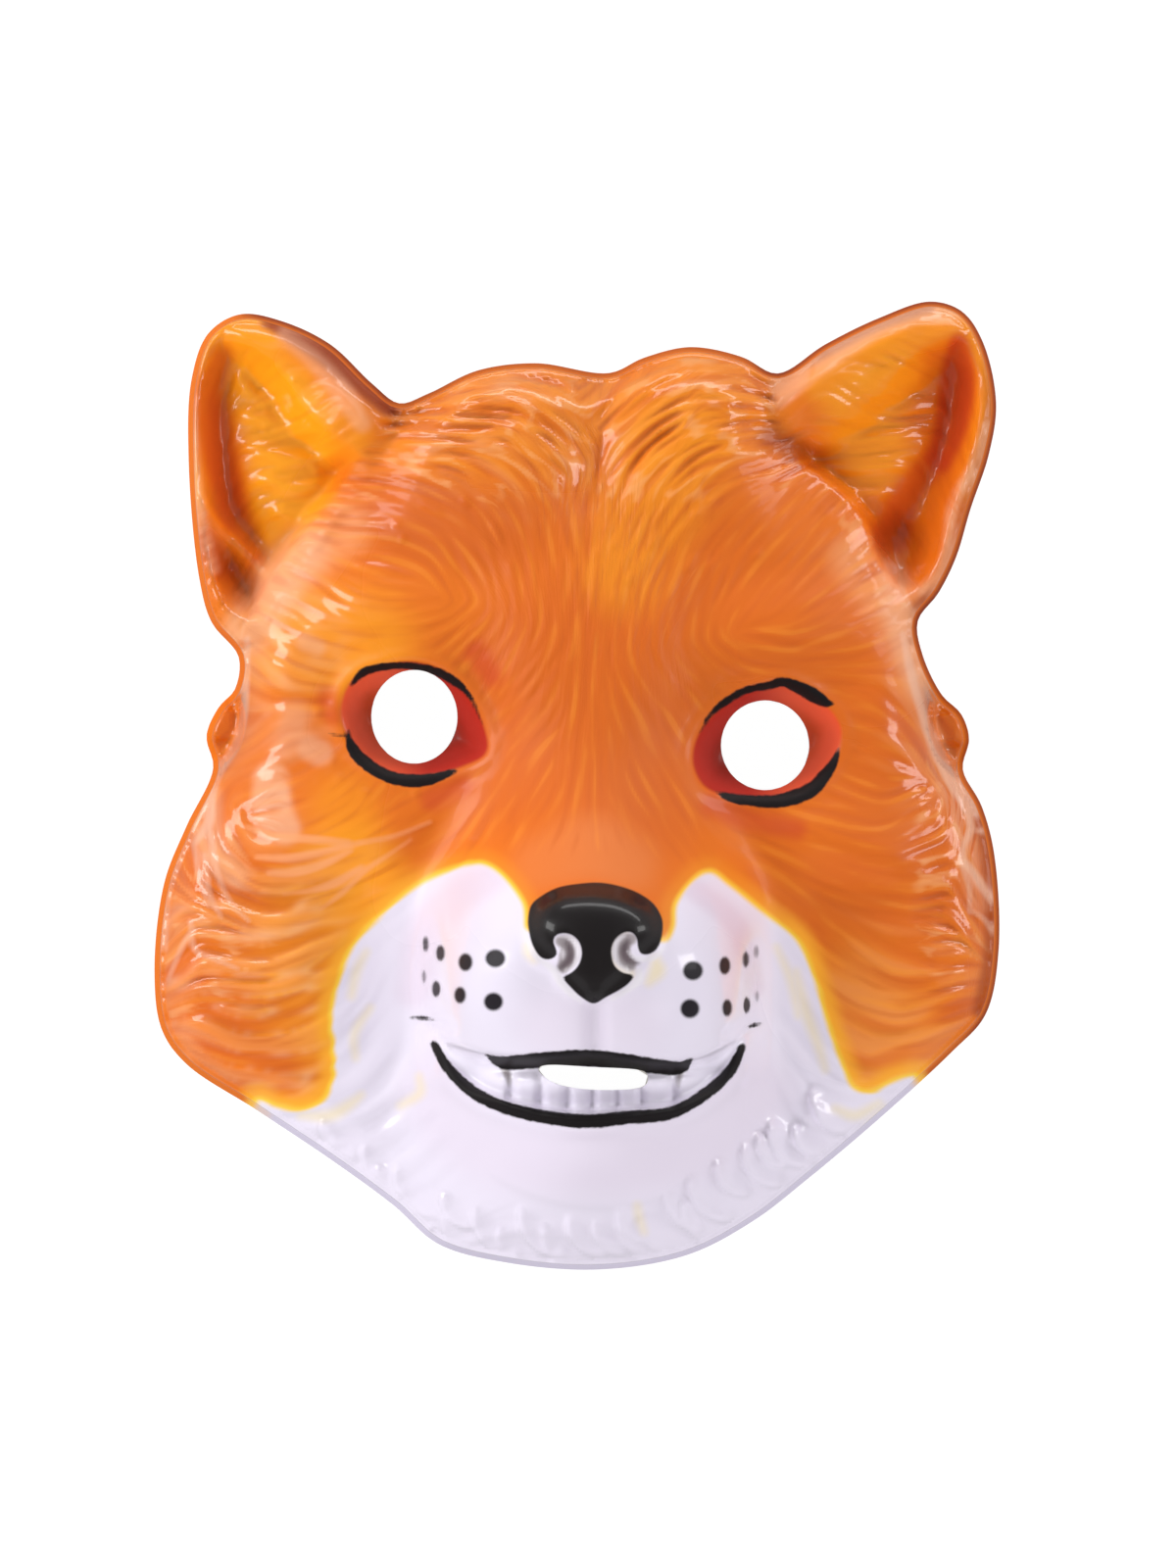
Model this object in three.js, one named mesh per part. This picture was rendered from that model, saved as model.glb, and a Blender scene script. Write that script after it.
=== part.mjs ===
// A child's fox face mask, drawn down over a mould from one thin sheet of glossy plastic.
// Millimetres. X runs across the face, Y up the face to the ears, Z out of the face.
// The mask lies on its cut rim, so the rim is flat at z = 0 and the nose points up.
import * as THREE from "three";

// Driving sizes
const SHEET = 0.8; // thickness of the formed sheet
const FACE_LOW = 15; // height of the face where the dome starts
const FACE_DOME = 17; // how far the dome of the face rises above that
const DOME_CENTRE = [1, 18];
const DOME_HALF = [96, 122];
const DOME_POWER = 2.2;
const EDGE_DROP = [9, 5]; // how far the face rounds over before its side wall, and beside ears and chin
const CHIN_FADE = [-70, -86]; // y over which the rounding lessens to the chin
const EDGE_WIDE = 10; // width of that rounding along cheeks, jaw and crown
const EAR_JOIN_EXTRA = 12; // extra width where the head runs into an ear
const CLIFF = [-2.4, 0.3]; // the head's side wall where an ear or a tab stands outside it
const WALL_DRAFT = 2.0; // how far a side wall leans in between rim and top
const WALL_ROUND = 1.2; // height of the rounded top of a side wall
const WALL_SHARE = 0.4; // of the draft that the rounded top takes
const EAR_PLATE = 22.5; // height of an ear beside its bowl
const EAR_SLOPE = 0.06; // fall of the ear towards its tip, per mm of Y
const EAR_BOWL = 9; // depth of the bowl of an ear
const BOWL_EDGE = [-1.2, 4]; // distances inside the bowl's edge over which it sinks
const EAR_EDGE = [4, 4]; // drop and width of the rounded edge of an ear
const TAB_HEIGHT = 3.5; // side tabs that take the ends of a band
const TAB_PAD_RISE = 2; // flat square pad on a tab
const TAB_PADS = [[-72.7, 12.6, 1.7, 2.5], [75.3, 11.6, 1.7, 2.5]]; // x, y, half width, half height
const LID_ROLL = [1.7, 1.3, 2.0]; // upper lid, lower lid, width
const EYE_DEPTH = 5; // sink of the eye surface behind its lids
const NOSE_RISE = 3.8; // nose pad above the muzzle
const NOSE_EASE = [-0.6, 4.2]; // distances inside the pad's edge over which it rises
const NOSE_DOME = [3, -27.5, 14, 9, 0, 1.6];
const MOUTH_DEPTH = [2.5, 6]; // at the corners, and what the middle adds
const MOUTH_HALF = 33;
const TEETH_RISE = 4.2;
const TOOTH_GAP = [1.4, 0.9]; // depth and width of the gaps between teeth
const TOOTH_GAPS = [-14, -8, -2.5, 2.5, 7.5, 12.5, 19];
const MID_LINE = 2.8; // x of the middle of nose and mouth

// Landmarks of the outline, round the mask from the crown's notch
const CROWN_RIGHT = [[6, 84.2], [13, 87.3], [22.5, 89.5], [33, 87.5]];
const EAR_RIGHT = [
  [40.3, 84.1], [50, 90], [61, 95.4], [71.5, 98.8], [78, 96.8], [82.3, 90.5],
  [85, 78], [83.5, 67.5], [79.8, 56.5], [76.8, 46.5], [73.2, 39.2],
];
const TEMPLE_RIGHT = [[69, 33.5], [70, 26.5], [74, 18.3]];
const TAB_RIGHT = [[77.8, 14.6], [79.5, 9.5], [78.2, 3.2]];
const CHEEK_RIGHT = [[82, -4.2], [84.6, -14], [85.5, -34], [82.8, -47]];
const JAW_RIGHT = [[76, -54.5], [61.3, -68], [46.5, -80.5], [35.5, -89]];
const CHIN = [[22, -96], [4, -99], [-15, -97.6]];
const JAW_LEFT = [[-29, -93.8], [-38, -86], [-50, -77.2], [-66, -66.5], [-80.5, -57]];
const CHEEK_LEFT = [[-85.5, -50], [-87, -38], [-85, -20], [-80.5, -8.5]];
const TAB_LEFT = [[-75, 3.5], [-76.4, 10], [-73.8, 16]];
const TEMPLE_LEFT = [[-70.6, 19.5], [-69.8, 26.2]];
const EAR_LEFT = [
  [-75.3, 33.2], [-77.8, 42], [-80, 66], [-79.4, 83], [-76, 92.3],
  [-69.5, 96.2], [-61, 94.8], [-51, 90], [-42.5, 82],
];
const CROWN_LEFT = [[-37, 78], [-31, 80], [-21, 84.7], [-9, 86.2]];

// Where the head's own edge leaves the outline: behind the ears and beside the tabs
const EAR_JOIN_RIGHT = [[39.5, 82], [40.5, 74], [44.5, 66.5], [52, 60.5], [58, 54], [60, 47], [65, 39.5], [69, 31]];
const SIDE_RIGHT = [[70, 24], [70.5, 16.5], [71.2, 11], [73.2, 5.5], [77.8, 0.5]];
const SIDE_LEFT = [[-75, 0.5], [-70.4, 6], [-68.3, 12], [-68.4, 20]];
const EAR_JOIN_LEFT = [[-68, 29], [-64.5, 39], [-58, 48], [-51, 57.5], [-45.5, 65.5], [-40, 72.5]];

// Edges of the carved areas
const BOWL_LEFT = [
  [-73.5, 91.5], [-67, 89.5], [-60.5, 83.5], [-56, 76.5], [-50, 70.5], [-44.5, 65], [-52, 53],
  [-60, 42], [-66, 34], [-70.5, 35], [-75, 41], [-76.6, 52], [-77.2, 64], [-77.8, 78], [-76.5, 87],
];
const BOWL_RIGHT = [
  [77.5, 91.5], [70, 88.5], [61, 81], [52, 74], [43, 68.5], [41, 65.5], [47, 60], [54, 52],
  [59, 44], [63, 37], [70, 40.5], [73.4, 46.5], [75.2, 55], [77.6, 63], [80.4, 74], [81.2, 85],
];
const EYE_LEFT = [
  [-47.9, 15.5], [-46, 20.6], [-41, 23.2], [-34, 24.3], [-27.5, 22], [-23, 17], [-20.3, 11.5],
  [-19.8, 7], [-24, 4.6], [-30, 2.9], [-37, 2.8], [-43, 5.6], [-46.7, 10.5],
];
const EYE_RIGHT = [
  [23.8, 4.5], [24.6, 9.5], [28.4, 14.6], [34, 18.2], [40.5, 20], [46, 18], [50, 15.2],
  [52.3, 11.5], [51.6, 6.5], [48, 1.5], [43, -1.3], [37, -2], [30.5, -1.4], [26, 0.2],
];
const HOLE_LEFT = [-33.8, 13.9, 8.8, 9.55]; // centre x, y and half sizes of the hole looked through
const HOLE_RIGHT = [37.7, 8.1, 9.0, 9.15];
const MOUTH_SLOT = [
  [-8.6, -57.6], [-7.6, -57], [2, -57.3], [13.0, -58.2], [13.8, -59], [13.5, -60.8],
  [12.3, -61.5], [6, -62], [0, -61.7], [-4.6, -60.8], [-7.2, -59.4],
];
const UPPER_LIP = [
  [-31, -48.4], [-27, -51.4], [-20, -54.3], [-10, -55.2], [-3, -54.9], [2.8, -54.3],
  [9, -55.5], [17, -56.2], [24, -55.4], [31, -51.6], [34.8, -49.4],
];
const LOWER_LIP = [
  [33, -53.5], [30, -59], [25, -63.4], [20, -66], [13, -67], [5, -67.7],
  [-3, -67.7], [-12, -66.2], [-21, -62.8], [-27, -57.6], [-29.8, -53],
];
const NOSE = [
  [-5.5, -20.4], [-1, -19.6], [5, -19.7], [9.5, -20.6], [14, -23], [16.8, -27], [17, -30.5],
  [14.5, -33.8], [11.5, -36], [9.5, -39.2], [6, -42], [3, -44.4], [0, -42.2], [-3.2, -39.4],
  [-4.8, -36.6], [-7.6, -34.8], [-10, -31.5], [-10.8, -27.5], [-9.2, -23.5],
];

// Muzzle and jaw, section by section: y, rise, left half, right half, middle, softness of the side
const MUZZLE = [
  [62, 0, 26, 26, 1, 1.8], [45, 1.6, 25, 25, 1, 1.8], [30, 4.2, 24, 25, 1.3, 1.8],
  [15, 8.2, 24, 25, 1.6, 1.8], [5, 12.5, 25, 26, 1.9, 1.75], [-5, 18.5, 28, 29, 2.2, 1.6],
  [-13, 25, 31, 32, 2.5, 1.35], [-22, 32.5, 34, 34, 2.8, 0.95], [-32, 36.5, 34.8, 33.8, 2.8, 0.66],
  [-42, 36.2, 35, 33.7, 2.8, 0.6], [-50, 34, 35, 34.4, 2.8, 0.7], [-57, 31, 37, 36.5, 2.8, 0.98],
  [-64, 28, 41, 40, 2.8, 1.45], [-72, 24.5, 44, 43, 2.8, 1.8], [-80, 20, 44, 43, 2.8, 1.9],
  [-88, 14, 42, 42, 2.8, 1.8], [-95, 9, 40, 40, 2.8, 1.7], [-100, 6.5, 40, 40, 2.8, 1.7],
];

// Soft swellings and hollows: x, y, half width, half height, turn in degrees, rise
const SWELLINGS = [
  [-17, 68, 28, 26, 0, 3.6], [24, 71, 26, 26, 0, 4.8], // crown
  [0, 40, 60, 40, 0, 2.2], // forehead
  [-40, 35, 25, 15, -14, 4.2], [43, 31, 25, 15, 14, 4.2], // brows
  [-13, 27, 14, 22, 12, 1.5], [17, 24, 14, 22, -12, 1.5],
  [-62, 24, 15, 26, 0, 2.2], [64, 18, 15, 26, 0, 2.2], // temples
  [-33, 12, 24, 18, 0, -4.6], [37, 8, 24, 18, 0, -4.6], // eye sockets
  [-54, -8, 28, 15, 12, 3.2], [58, -11, 28, 15, -12, 3.2], // cheekbones
  [-66, -38, 28, 30, 0, 4], [68, -36, 28, 30, 0, 4], // cheeks
  [-45, -34, 15, 28, 20, -1.6], [50, -34, 15, 28, -20, -1.6], // beside the muzzle
  [-20, -41, 14, 14, 0, 2.6], [24.5, -41, 13, 14, 0, 2.6], // whisker pads
  [2.8, -77, 24, 14, 0, 2.4], // chin
];

// Narrow ridges and grooves: points of the line, half width, rise
const CREASES = [
  [[[5.6, 92], [4.6, 80], [2.4, 68], [1, 52]], 5.5, -2.2], // parting of the crown
  [[[3, -42], [3, -48], [2.9, -56]], 2.2, -2], // cleft under the nose
  [[[-33.5, -47], [-29, -49], [-25, -51]], 1.9, -1.5],
  [[[37.4, -48], [33, -50], [28, -52.4]], 1.9, -1.5], // corners of the mouth
  [[[-69, -14], [-54, -12], [-40, -11], [-30, -6]], 4, 1.2],
  [[[-66, -22], [-52, -20], [-38, -18]], 4, -0.9],
  [[[72, -16], [58, -13], [46, -10], [38, -7]], 4, 1.2],
  [[[68, -23], [56, -21], [44, -19]], 4, -0.9], // fold under each cheekbone
];
const NOSTRILS = [
  [[[3, -31], [3, -36], [3, -43]], 1, -0.9],
  [[[-5.6, -32], [-3.6, -30], [-1.2, -31.2], [-0.6, -34], [-2.2, -37.6]], 1.5, -2.2],
  [[[11.9, -31.6], [9.6, -29.9], [7, -31.4], [6.6, -34], [8.6, -37.4]], 1.5, -2.2],
];
const EAR_SWELLINGS_LEFT = [[-46, 74, 14, 11, -55, 4], [-60, 63, 15, 22, 30, 3.4]];
const EAR_SWELLINGS_RIGHT = [[46, 79, 17, 9, 35, 4.5], [60, 67, 16, 20, -35, 3.4], [65, 49, 7, 9, 0, -2.5]];
const EAR_CREASES_LEFT = [
  [[[-36, 71], [-45, 79], [-56, 88.5], [-67, 94]], 3.2, 2.6], // front roll
  [[[-74.2, 93], [-75.4, 83], [-74.6, 70], [-72, 59], [-67, 49], [-62, 40]], 3.6, -1.8],
  [[[-79.5, 64], [-75.5, 55.8], [-71, 50.4], [-66.5, 45.6], [-62, 39]], 1.9, 3.6], // fold low on the rim
  [[[-77, 52], [-73.5, 45.5], [-69, 39.5], [-66, 36]], 2.2, -1.8],
  [[[-72, 88], [-67, 80], [-60, 76]], 1.8, 1.3], // tufts of hair
  [[[-71, 77], [-62, 73.5], [-53, 71.5]], 1.8, 1.3],
  [[[-70, 70], [-60, 66.5], [-48, 66.5]], 1.8, 1.3],
  [[[-67, 63.5], [-58, 60.5], [-50, 61.5]], 1.8, 1.3],
  [[[-64, 57], [-58, 54.5], [-52, 56]], 1.8, 1.2],
];
const EAR_CREASES_RIGHT = [
  [[[38, 76], [48, 84], [60, 90.5], [74, 95.5]], 3.6, 2.6],
  [[[77.6, 92], [77.4, 82], [75.4, 71], [70.5, 61], [66, 52.5], [63, 44]], 3.8, -2.2],
  [[[72, 86], [66, 80.5], [58, 79]], 1.8, 1.2],
  [[[72, 79.5], [62, 75], [50, 73.5]], 1.8, 1.3],
  [[[71, 73], [60, 70], [45, 69.5]], 1.8, 1.3],
  [[[68, 66.5], [58, 65], [46, 65.5]], 1.8, 1.3],
  [[[64, 60], [57, 59], [51, 60.5]], 1.8, 1.2],
];

// How finely the surface is faceted
const NET_FROM = [-90.3, -103]; // corner of the square net the triangles start from
const NET_STEP = 6.86; // its squares
const NET_SQUARES = [26, 30];
const LEG_SMALLEST = 1.8; // triangles with legs under this aren't halved any more
const LEG_AT_EDGE = 5; // largest legs along the edges of the sheet
const BEND = 0.41; // how far the surface may stand off a triangle
const SNAP = 0.3; // a corner nearer a line than this share of its shortest edge is moved onto it

// Small tools
const clamp01 = (t) => Math.min(1, Math.max(0, t));

function ease(from, to, t) {
  const u = clamp01((t - from) / (to - from));
  return u * u * (3 - 2 * u);
}

const softMax = (a, b, k) => 0.5 * (a + b + Math.hypot(a - b, k));

// A smooth line through landmarks, as short straight steps
function through(points, closed, step) {
  const curve = new THREE.CatmullRomCurve3(
    points.map(([x, y]) => new THREE.Vector3(x, y, 0)),
    closed,
    "centripetal",
  );
  const spans = closed ? points.length : points.length - 1;
  const line = [];
  for (let i = 0; i < spans; i++) {
    const [ax, ay] = points[i];
    const [bx, by] = points[(i + 1) % points.length];
    const parts = Math.max(2, Math.ceil(Math.hypot(bx - ax, by - ay) / step));
    for (let k = 0; k < parts; k++) {
      const p = curve.getPoint((i + k / parts) / spans);
      line.push([p.x, p.y]);
    }
  }
  line.push(closed ? line[0] : points[points.length - 1]);
  return line;
}

// Distance to a line, and how far along it the nearest point lies, from 0 to 1
function nearest(x, y, line) {
  let best = Infinity;
  let along = 0;
  let run = 0;
  for (let i = 0; i + 1 < line.length; i++) {
    const [ax, ay] = line[i];
    const ux = line[i + 1][0] - ax;
    const uy = line[i + 1][1] - ay;
    const length = Math.hypot(ux, uy);
    const w = clamp01(((x - ax) * ux + (y - ay) * uy) / (length * length));
    const d = Math.hypot(x - ax - w * ux, y - ay - w * uy);
    if (d < best) {
      best = d;
      along = run + w * length;
    }
    run += length;
  }
  return [best, along / run];
}

// Distance to a closed line, above 0 inside it
function within(x, y, loop) {
  let inside = false;
  for (let i = 0; i + 1 < loop.length; i++) {
    const [ax, ay] = loop[i];
    const [bx, by] = loop[i + 1];
    if (ay > y !== by > y && x < ((bx - ax) * (y - ay)) / (by - ay) + ax) inside = !inside;
  }
  const [d] = nearest(x, y, loop);
  return inside ? d : -d;
}

function swell(x, y, table) {
  let z = 0;
  for (const [cx, cy, rx, ry, degrees, rise] of table) {
    const turn = THREE.MathUtils.degToRad(degrees);
    const u = ((x - cx) * Math.cos(turn) + (y - cy) * Math.sin(turn)) / rx;
    const v = ((y - cy) * Math.cos(turn) - (x - cx) * Math.sin(turn)) / ry;
    const r = clamp01(1 - u * u - v * v);
    z += rise * r * r;
  }
  return z;
}

const CREASE_ENDS = 0.25; // share of a crease's length over which it fades in and out
const drawCreases = (table) => table.map(([points, wide, rise]) => [through(points, false, 2), wide, rise]);

function crease(x, y, table) {
  let z = 0;
  for (const [line, wide, rise] of table) {
    const [d, t] = nearest(x, y, line);
    z += rise * Math.exp(-((d / wide) ** 2)) * ease(0, CREASE_ENDS, t) * ease(0, CREASE_ENDS, 1 - t);
  }
  return z;
}

// A value of the muzzle's table at y, on a smooth curve through the table's rows
function station(y, column) {
  const rows = [...MUZZLE].reverse();
  const q = Math.min(Math.max(y, rows[0][0]), rows[rows.length - 1][0]);
  let i = 0;
  while (i < rows.length - 2 && q > rows[i + 1][0]) i++;
  const slope = (k) => {
    const a = rows[Math.max(0, k - 1)];
    const b = rows[Math.min(rows.length - 1, k + 1)];
    return (b[column] - a[column]) / (b[0] - a[0]);
  };
  const h = rows[i + 1][0] - rows[i][0];
  const u = (q - rows[i][0]) / h;
  return (
    (1 + 2 * u) * (1 - u) ** 2 * rows[i][column] +
    u * (1 - u) ** 2 * h * slope(i) +
    u * u * (3 - 2 * u) * rows[i + 1][column] +
    u * u * (u - 1) * h * slope(i + 1)
  );
}

// Lines and tables drawn once
const OUTLINE = through(
  [
    ...CROWN_RIGHT, ...EAR_RIGHT, ...TEMPLE_RIGHT, ...TAB_RIGHT, ...CHEEK_RIGHT, ...JAW_RIGHT, ...CHIN,
    ...JAW_LEFT, ...CHEEK_LEFT, ...TAB_LEFT, ...TEMPLE_LEFT, ...EAR_LEFT, ...CROWN_LEFT,
  ],
  true,
  1.5,
);
const HEAD_EDGE = through(
  [
    ...CROWN_RIGHT, ...EAR_JOIN_RIGHT, ...SIDE_RIGHT, ...CHEEK_RIGHT, ...JAW_RIGHT, ...CHIN,
    ...JAW_LEFT, ...CHEEK_LEFT, ...SIDE_LEFT, ...EAR_JOIN_LEFT, ...CROWN_LEFT,
  ],
  true,
  1.5,
);
const BOWL = { left: through(BOWL_LEFT, true, 1.5), right: through(BOWL_RIGHT, true, 1.5) };
const EYES = [
  [through(EYE_LEFT, true, 1), HOLE_LEFT],
  [through(EYE_RIGHT, true, 1), HOLE_RIGHT],
];
const MOUTH_EDGE = through([...UPPER_LIP, ...LOWER_LIP], true, 1);
const SLOT_EDGE = through(MOUTH_SLOT, true, 0.6);
const NOSE_EDGE = through(NOSE, true, 1);
const FACE_CREASES = drawCreases(CREASES);
const NOSTRIL_CREASES = drawCreases(NOSTRILS);
const EAR_CREASES = { left: drawCreases(EAR_CREASES_LEFT), right: drawCreases(EAR_CREASES_RIGHT) };
const EAR_SWELLINGS = { left: EAR_SWELLINGS_LEFT, right: EAR_SWELLINGS_RIGHT };

// The foot of the muzzle's steep sides, from its table
const MUZZLE_STEEP = [-5, -64]; // y where the steep sides start and end
const steepRows = MUZZLE.filter(([y]) => y <= MUZZLE_STEEP[0] && y >= MUZZLE_STEEP[1]);
const MUZZLE_EDGE = through(
  [
    ...steepRows.map(([y, , left, , middle]) => [middle - left, y]),
    ...[...steepRows].reverse().map(([y, , , right, middle]) => [middle + right, y]),
  ],
  true,
  2,
);

// Lines the facets follow, each with its distance inside the drawn edge
const FACET_LINES = [
  [MUZZLE_EDGE, 0],
  [MOUTH_EDGE, -0.5],
  [NOSE_EDGE, -0.6],
  [EYES[0][0], -1.2],
  [EYES[1][0], -1.2],
  [BOWL.left, -1.2],
  [BOWL.right, -1.2],
  [HEAD_EDGE, 0.3],
];

// The head without eyes, nose pad and mouth
function skin(x, y) {
  const across = clamp01(1 - ((x - DOME_CENTRE[0]) / DOME_HALF[0]) ** 2);
  const along = clamp01(1 - (Math.abs(y - DOME_CENTRE[1]) / DOME_HALF[1]) ** DOME_POWER);
  const [rise, left, right, middle, soft] = [1, 2, 3, 4, 5].map((column) => station(y, column));
  const r = clamp01(Math.abs(x - middle) / (x < middle ? left : right));
  const power = 2 + 0.6 * ease(1.2, 0.6, soft);
  const muzzle = rise * Math.pow(1 - Math.pow(r, power), soft);
  return FACE_LOW + FACE_DOME * across * along + muzzle + swell(x, y, SWELLINGS) + crease(x, y, FACE_CREASES);
}

function withMouth(x, y, z) {
  const d = within(x, y, MOUTH_EDGE);
  const half = clamp01(1 - ((x - MID_LINE) / MOUTH_HALF) ** 2);
  const lip = 1.3 * Math.exp(-(((d + 2) / 1.9) ** 2)) * ease(-56, -60, y);
  const sink = (MOUTH_DEPTH[0] + MOUTH_DEPTH[1] * half) * ease(-0.5, 2.6, d);
  const row = ease(-1.2, 1.2, d) * ease(-57, -60.5, y) * ease(27, 17, Math.abs(x - MID_LINE));
  const gaps = TOOTH_GAPS.reduce((sum, gap) => sum + Math.exp(-(((x - gap) / TOOTH_GAP[1]) ** 2)), 0);
  return z + lip - sink + row * (TEETH_RISE - TOOTH_GAP[0] * gaps * ease(0, 2, d));
}

function withNose(x, y, z) {
  const pad = NOSE_RISE * ease(...NOSE_EASE, within(x, y, NOSE_EDGE));
  return z + pad + swell(x, y, [NOSE_DOME]) + crease(x, y, NOSTRIL_CREASES);
}

function withEye(x, y, z, [edge, hole]) {
  const d = within(x, y, edge);
  const upper = ease(-5, 5, y - hole[1]);
  const roll = LID_ROLL[1] + (LID_ROLL[0] - LID_ROLL[1]) * upper;
  return z + roll * Math.exp(-(((d + 1.5) / LID_ROLL[2]) ** 2)) - EYE_DEPTH * ease(-0.4, 4.8, d);
}

function earHeight(x, y, rim) {
  const side = x < 0 ? "left" : "right";
  const plate = EAR_PLATE - EAR_SLOPE * Math.max(0, y - 50);
  const bowl = EAR_BOWL * ease(...BOWL_EDGE, within(x, y, BOWL[side]));
  const round = EAR_EDGE[0] * (1 - clamp01(rim / EAR_EDGE[1])) ** DOME_POWER;
  return plate - bowl - round + swell(x, y, EAR_SWELLINGS[side]) + crease(x, y, EAR_CREASES[side]);
}

function tabHeight(x, y) {
  let pad = 0;
  for (const [cx, cy, halfX, halfY] of TAB_PADS) {
    const out = Math.max(Math.abs(x - cx) - halfX, Math.abs(y - cy) - halfY);
    pad = Math.max(pad, ease(1.4, 0, out));
  }
  return TAB_HEIGHT + TAB_PAD_RISE * pad;
}

// Height of the outer surface above the rim
function height(x, y) {
  const rim = within(x, y, OUTLINE);
  const head = within(x, y, HEAD_EDGE);
  let z = withNose(x, y, withMouth(x, y, skin(x, y)));
  for (const eye of EYES) z = withEye(x, y, z, eye);
  const nearEar = ease(24, 42, y) * ease(26, 46, Math.abs(x));
  const u = clamp01(head / (EDGE_WIDE + EAR_JOIN_EXTRA * nearEar));
  const gentle = Math.max(nearEar, ease(...CHIN_FADE, y));
  const drop = EDGE_DROP[0] + (EDGE_DROP[1] - EDGE_DROP[0]) * gentle;
  const face = z - drop * (1 - u) ** DOME_POWER;
  const tabs = ease(30, 24, y);
  const low = tabHeight(x, y) * tabs + earHeight(x, y, rim) * (1 - tabs);
  return low + (softMax(face, low, 1.5) - low) * ease(CLIFF[0], CLIFF[1], head);
}

// Above 0 on the sheet, below 0 past the top of the side wall and in the holes
function material(x, y) {
  let level = within(x, y, OUTLINE) - WALL_DRAFT;
  for (const [, [cx, cy, rx, ry]] of EYES) {
    level = Math.min(level, (Math.hypot((x - cx) / rx, (y - cy) / ry) - 1) * Math.min(rx, ry));
  }
  return Math.min(level, -within(x, y, SLOT_EDGE));
}

function slope(f, x, y) {
  const e = 0.05;
  return [(f(x + e, y) - f(x - e, y)) / (2 * e), (f(x, y + e) - f(x, y - e)) / (2 * e)];
}

const edgeKey = (a, b) => (a < b ? `${a},${b}` : `${b},${a}`);

// Triangles with their longest side first, halved across it wherever the surface bends off them
function net() {
  const [across, up] = NET_SQUARES;
  const points = [];
  for (let j = 0; j <= up; j++) {
    for (let i = 0; i <= across; i++) {
      points.push([NET_FROM[0] + i * NET_STEP, NET_FROM[1] + j * NET_STEP]);
    }
  }
  const at = (i, j) => j * (across + 1) + i;
  let cells = [];
  for (let j = 0; j < up; j++) {
    for (let i = 0; i < across; i++) {
      const [a, b, c, d] = [at(i, j), at(i + 1, j), at(i + 1, j + 1), at(i, j + 1)];
      cells.push(...((i + j) % 2 ? [[c, a, b], [a, c, d]] : [[b, d, a], [d, b, c]]));
    }
  }
  const known = new Map();
  const look = (x, y) => {
    const key = `${x.toFixed(3)},${y.toFixed(3)}`;
    if (!known.has(key)) {
      const level = material(x, y);
      known.set(key, [level, level > -NET_STEP ? height(x, y) : 0]);
    }
    return known.get(key);
  };
  const coarse = (cell) => {
    const corners = cell.map((p) => points[p]);
    const leg = Math.hypot(corners[0][0] - corners[2][0], corners[0][1] - corners[2][1]);
    if (leg < LEG_SMALLEST * Math.SQRT2) return false;
    const seen = corners.map(([x, y]) => look(x, y));
    const levels = seen.map(([level]) => level);
    if (Math.max(...levels) < -0.7 * leg) return false;
    if (leg > LEG_AT_EDGE && Math.min(...levels) < 0) return true;
    const tilt = Math.hypot(1, (Math.max(...seen.map(([, z]) => z)) - Math.min(...seen.map(([, z]) => z))) / leg);
    for (const shares of [[0.5, 0.5, 0], [0, 0.5, 0.5], [0.5, 0, 0.5], [0.34, 0.33, 0.33], [0.75, 0.25, 0], [0.25, 0.75, 0]]) {
      const blend = (values) => shares.reduce((sum, share, k) => sum + share * values[k], 0);
      const [level, z] = look(blend(corners.map(([x]) => x)), blend(corners.map(([, y]) => y)));
      if (level > -1 && Math.abs(z - blend(seen.map(([, value]) => value))) / tilt > BEND) return true;
    }
    return false;
  };
  for (let busy = true; busy; ) {
    const marked = new Set(cells.filter(coarse).map(([a, b]) => edgeKey(a, b)));
    busy = marked.size > 0;
    for (let spread = busy; spread; ) {
      spread = false;
      for (const [a, b, c] of cells) {
        if (marked.has(edgeKey(a, b))) continue;
        if (!marked.has(edgeKey(b, c)) && !marked.has(edgeKey(c, a))) continue;
        marked.add(edgeKey(a, b));
        spread = true;
      }
    }
    const middles = new Map();
    const halve = ([a, b, c]) => {
      const key = edgeKey(a, b);
      if (!marked.has(key)) return [[a, b, c]];
      if (!middles.has(key)) {
        middles.set(key, points.length);
        points.push([(points[a][0] + points[b][0]) / 2, (points[a][1] + points[b][1]) / 2]);
      }
      const middle = middles.get(key);
      return [...halve([c, a, middle]), ...halve([b, c, middle])];
    };
    cells = cells.flatMap(halve);
  }
  settle(points, cells);
  return { points, cells };
}

// Moves corners of the net that lie close to a facet line onto it
function settle(points, cells) {
  const shortest = new Map();
  for (const [a, b, c] of cells) {
    for (const [p, q] of [[a, b], [b, c], [c, a]]) {
      const length = Math.hypot(points[p][0] - points[q][0], points[p][1] - points[q][1]);
      for (const corner of [p, q]) shortest.set(corner, Math.min(length, shortest.get(corner) ?? Infinity));
    }
  }
  for (const [corner, length] of shortest) {
    const [x, y] = points[corner];
    let best = SNAP * length;
    for (const [line, offset] of FACET_LINES) {
      const away = (px, py) => within(px, py, line) - offset;
      const gap = away(x, y);
      if (Math.abs(gap) >= best) continue;
      const [gx, gy] = slope(away, x, y);
      const scale = gap / Math.max(0.5, gx * gx + gy * gy);
      best = Math.abs(gap);
      points[corner] = [x - gx * scale, y - gy * scale];
    }
  }
}

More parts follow.
